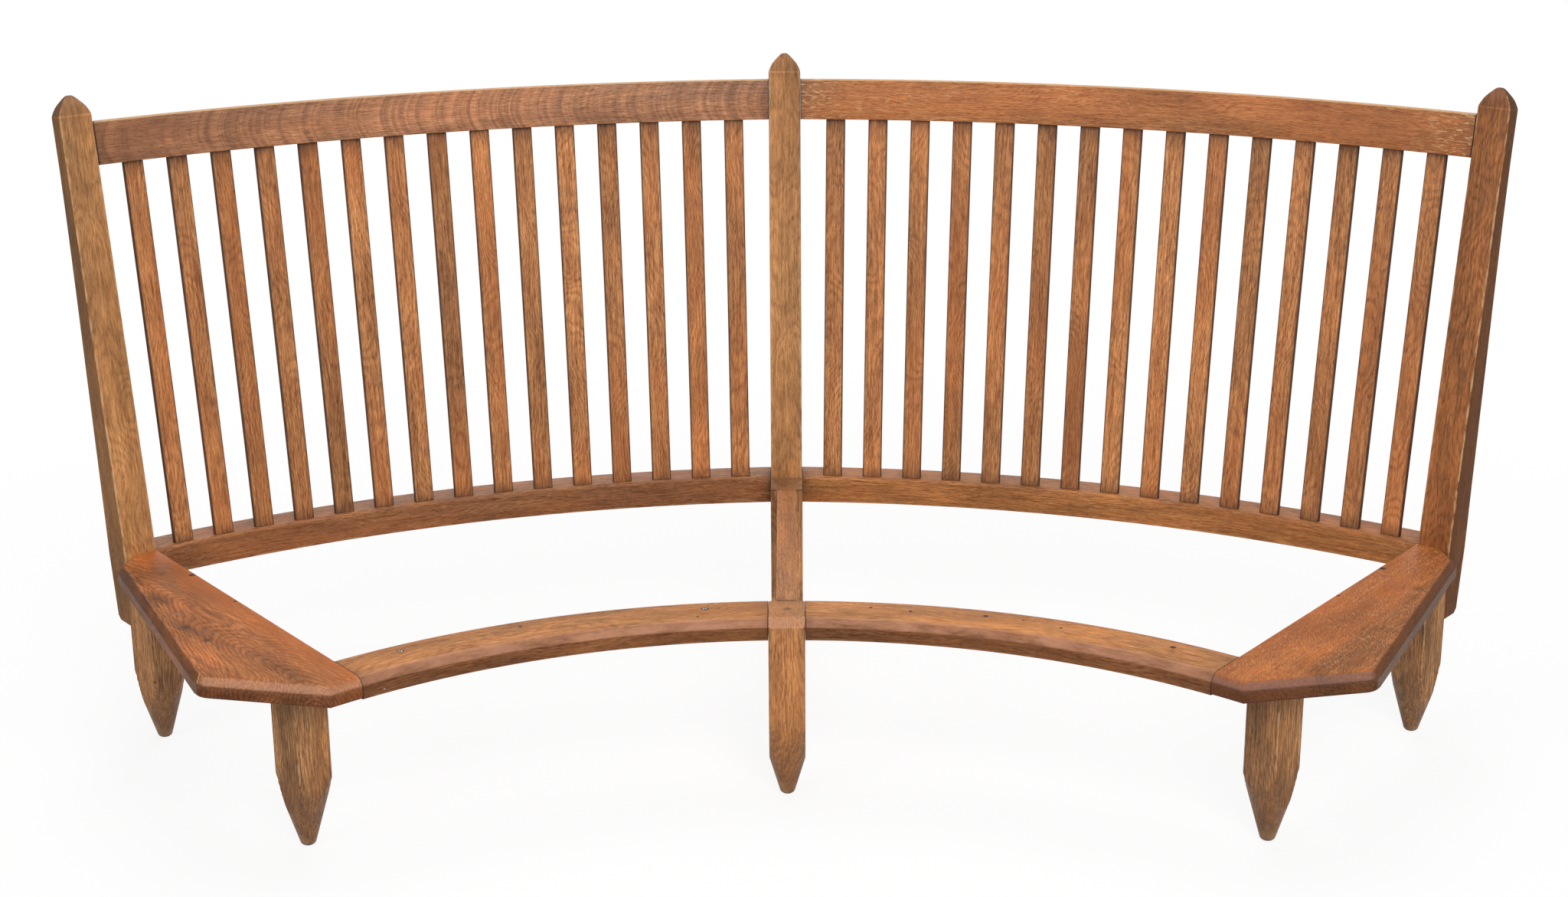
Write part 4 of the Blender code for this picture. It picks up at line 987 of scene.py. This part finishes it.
def make_boards():
    """End boards with a soft chamfer round their open edges."""
    points, open_sides = board_outline()
    low = SEAT - BOARD_THICKNESS
    # Height of each layer, and how far its open sides move in
    layers = ((low, 0.0044), (low + 0.0008, 0.0030), (low + 0.0040, 0.0), (SEAT - 0.0118, 0.0),
              (SEAT - 0.0100, 0.0004), (SEAT - 0.0085, 0.0014), (SEAT - 0.0040, 0.0054),
              (SEAT - 0.0017, 0.0084), (SEAT - 0.0005, 0.0112), (SEAT, 0.0142))
    for label, side in SIDES:
        rings = []
        for height, amount in layers:
            flat = inset(points, open_sides, amount)
            level = 2.0 * (height - low) / BOARD_THICKNESS - 1.0
            rings.append(Ring([placed(*from_side(*point), height, side) for point in flat],
                              [(point.y, point.x, height - SEAT) for point in flat],
                              [(0.0, level)] * len(flat), 0.5))
        dress(f"end_board_{label}", rings, f"oak_board_{label}", side, 0.0, 21.0 + side, 30.0)


def make_straight_rails():
    """The centre stretcher and the rails under the end boards."""
    front_face = FRONT_RADIUS + FRONT_RAIL_DEPTH + FIT
    rear_face = BACK_RADIUS - 2.0 * FIT - REAR_CENTRE_DEPTH - FIT
    half = 0.5 * STRETCHER_WIDTH
    outline = rounded_box(-half, half, SEAT - STRETCHER_HEIGHT, SEAT, (0.0015, 0.0015, 0.0022, 0.0022))
    straight_bar("centre_stretcher", "oak_stretcher", lambda along, x, y: placed(x, front_face + along, y),
                 rear_face - front_face, outline, -1.0, 0.02, 31.0, 9)

    half = 0.5 * SIDE_RAIL_THICKNESS
    high = SEAT - BOARD_THICKNESS - FIT
    outline = rounded_box(-half, half, high - SIDE_RAIL_HEIGHT, high, (0.0020, 0.0020, 0.0008, 0.0008))
    clear = 0.5 * LEG_DEPTH + FIT
    turn, rear_turn = FRONT_LEG_ANGLE - SIDE_ANGLE, END_ANGLE - SIDE_ANGLE
    length = SIDE_RUN.length
    for label, side in SIDES:
        def place(along, x, y, side=side):
            start = clear / math.cos(turn) - x * math.tan(turn)
            end = length - clear / math.cos(rear_turn) - x * math.tan(rear_turn)
            return placed(*from_side(x, start + (end - start) * along / length), y, side)

        straight_bar(f"side_rail_{label}", "oak_stretcher", place, length, outline, -side, -0.2,
                     37.0 + side, 5)


# Setting

def make_camera():
    """The photograph's viewpoint: eye level, a little above the back, facing the centre."""
    forward = Vector((math.sin(YAW) * math.cos(PITCH), math.cos(YAW) * math.cos(PITCH), -math.sin(PITCH)))
    right = Vector((math.cos(YAW), -math.sin(YAW), 0.0))
    up = right.cross(forward)
    tilted = right * math.cos(ROLL) + up * math.sin(ROLL)
    above = up * math.cos(ROLL) - right * math.sin(ROLL)
    data = bpy.data.cameras.new("camera")
    data.sensor_width = 36.0
    data.lens = LENS
    data.clip_start = 0.05
    data.clip_end = 60.0
    camera = in_scene("camera", data)
    turn = Matrix((tilted, above, -forward)).transposed().to_4x4()
    camera.matrix_world = Matrix.Translation(placed(*EYE)) @ turn
    SCENE.camera = camera


def white_behind(tree, surface, output, shadow=0.0):
    """White to the camera and in reflections, with a share of shadow; the surface to all other light."""
    kind = "Background" if output == "World Output" else "Emission"
    shown = tree.add(kind, {0: (1.0, 1.0, 1.0, 1.0), 1: 1.0}).outputs[0]
    if shadow > 0.0:
        matt = tree.add("BsdfDiffuse", {0: (1.0, 1.0, 1.0, 1.0)}).outputs[0]
        place = tree.add("TexCoord").outputs["Object"]
        reach = tree.add("VectorMath", {0: place}, operation="LENGTH").outputs["Value"]
        share = tree.span(reach, *SHADOW_FADE, shadow, 0.0)
        shown = tree.add("MixShader", {0: share, 1: shown, 2: matt}).outputs[0]
    rays = tree.add("LightPath").outputs
    seen = tree.maths("MAXIMUM", rays["Is Camera Ray"], rays["Is Glossy Ray"])
    seen = tree.maths("MAXIMUM", seen, rays["Is Transmission Ray"])
    mixed = tree.add("MixShader", {0: seen, 1: surface, 2: shown}).outputs[0]
    tree.feed(tree.nodes[output].inputs["Surface"], mixed)


def make_setting():
    """A pale floor, soft lamps and an even sky."""
    SCENE.world = bpy.data.worlds.new("studio")
    tree = Tree(SCENE.world)
    sky = tree.nodes["Background"]
    sky.inputs[0].default_value = (1.0, 0.99, 0.97, 1.0)
    sky.inputs[1].default_value = 0.34
    white_behind(tree, sky.outputs[0], "World Output")

    mesh = bpy.data.meshes.new("floor")
    corners = [(x * FLOOR_REACH, y * FLOOR_REACH, 0.0) for x, y in ((-1, -1), (1, -1), (1, 1), (-1, 1))]
    mesh.from_pydata(corners, [], [(0, 1, 2, 3)])
    floor = in_scene("floor", mesh)
    tree = Tree(bpy.data.materials.new("pale_floor"))
    shader = tree.nodes["Principled BSDF"]
    shader.inputs["Base Color"].default_value = (0.50, 0.50, 0.49, 1.0)
    shader.inputs["Roughness"].default_value = 0.9
    white_behind(tree, shader.outputs[0], "Material Output", FLOOR_SHADOW)
    mesh.materials.append(tree.owner)

    for name, place, aim, width, power, tint, in_gloss in LAMPS:
        data = bpy.data.lights.new(name, "AREA")
        data.shape = "DISK"
        data.size = width
        data.energy = power
        data.color = tint
        item = in_scene(name, data)
        item.location = place
        item.rotation_euler = (Vector(aim) - Vector(place)).to_track_quat("-Z", "Y").to_euler()
        item.visible_glossy = in_gloss


make_camera()
make_woods()
make_steel()
make_setting()
make_posts()
make_top_rail("right", 1.0, 0.0)
make_top_rail("left", -1.0, -0.03)
make_back_rail("right", 1.0, 0.04)
make_back_rail("left", -1.0, -0.02)
make_slats()
make_front_rail("right", 1.0, 0.06)
make_front_rail("left", -1.0, 0.0)
make_boards()
make_legs()
make_straight_rails()
make_screws()

SCENE.view_settings.view_transform = "Standard"
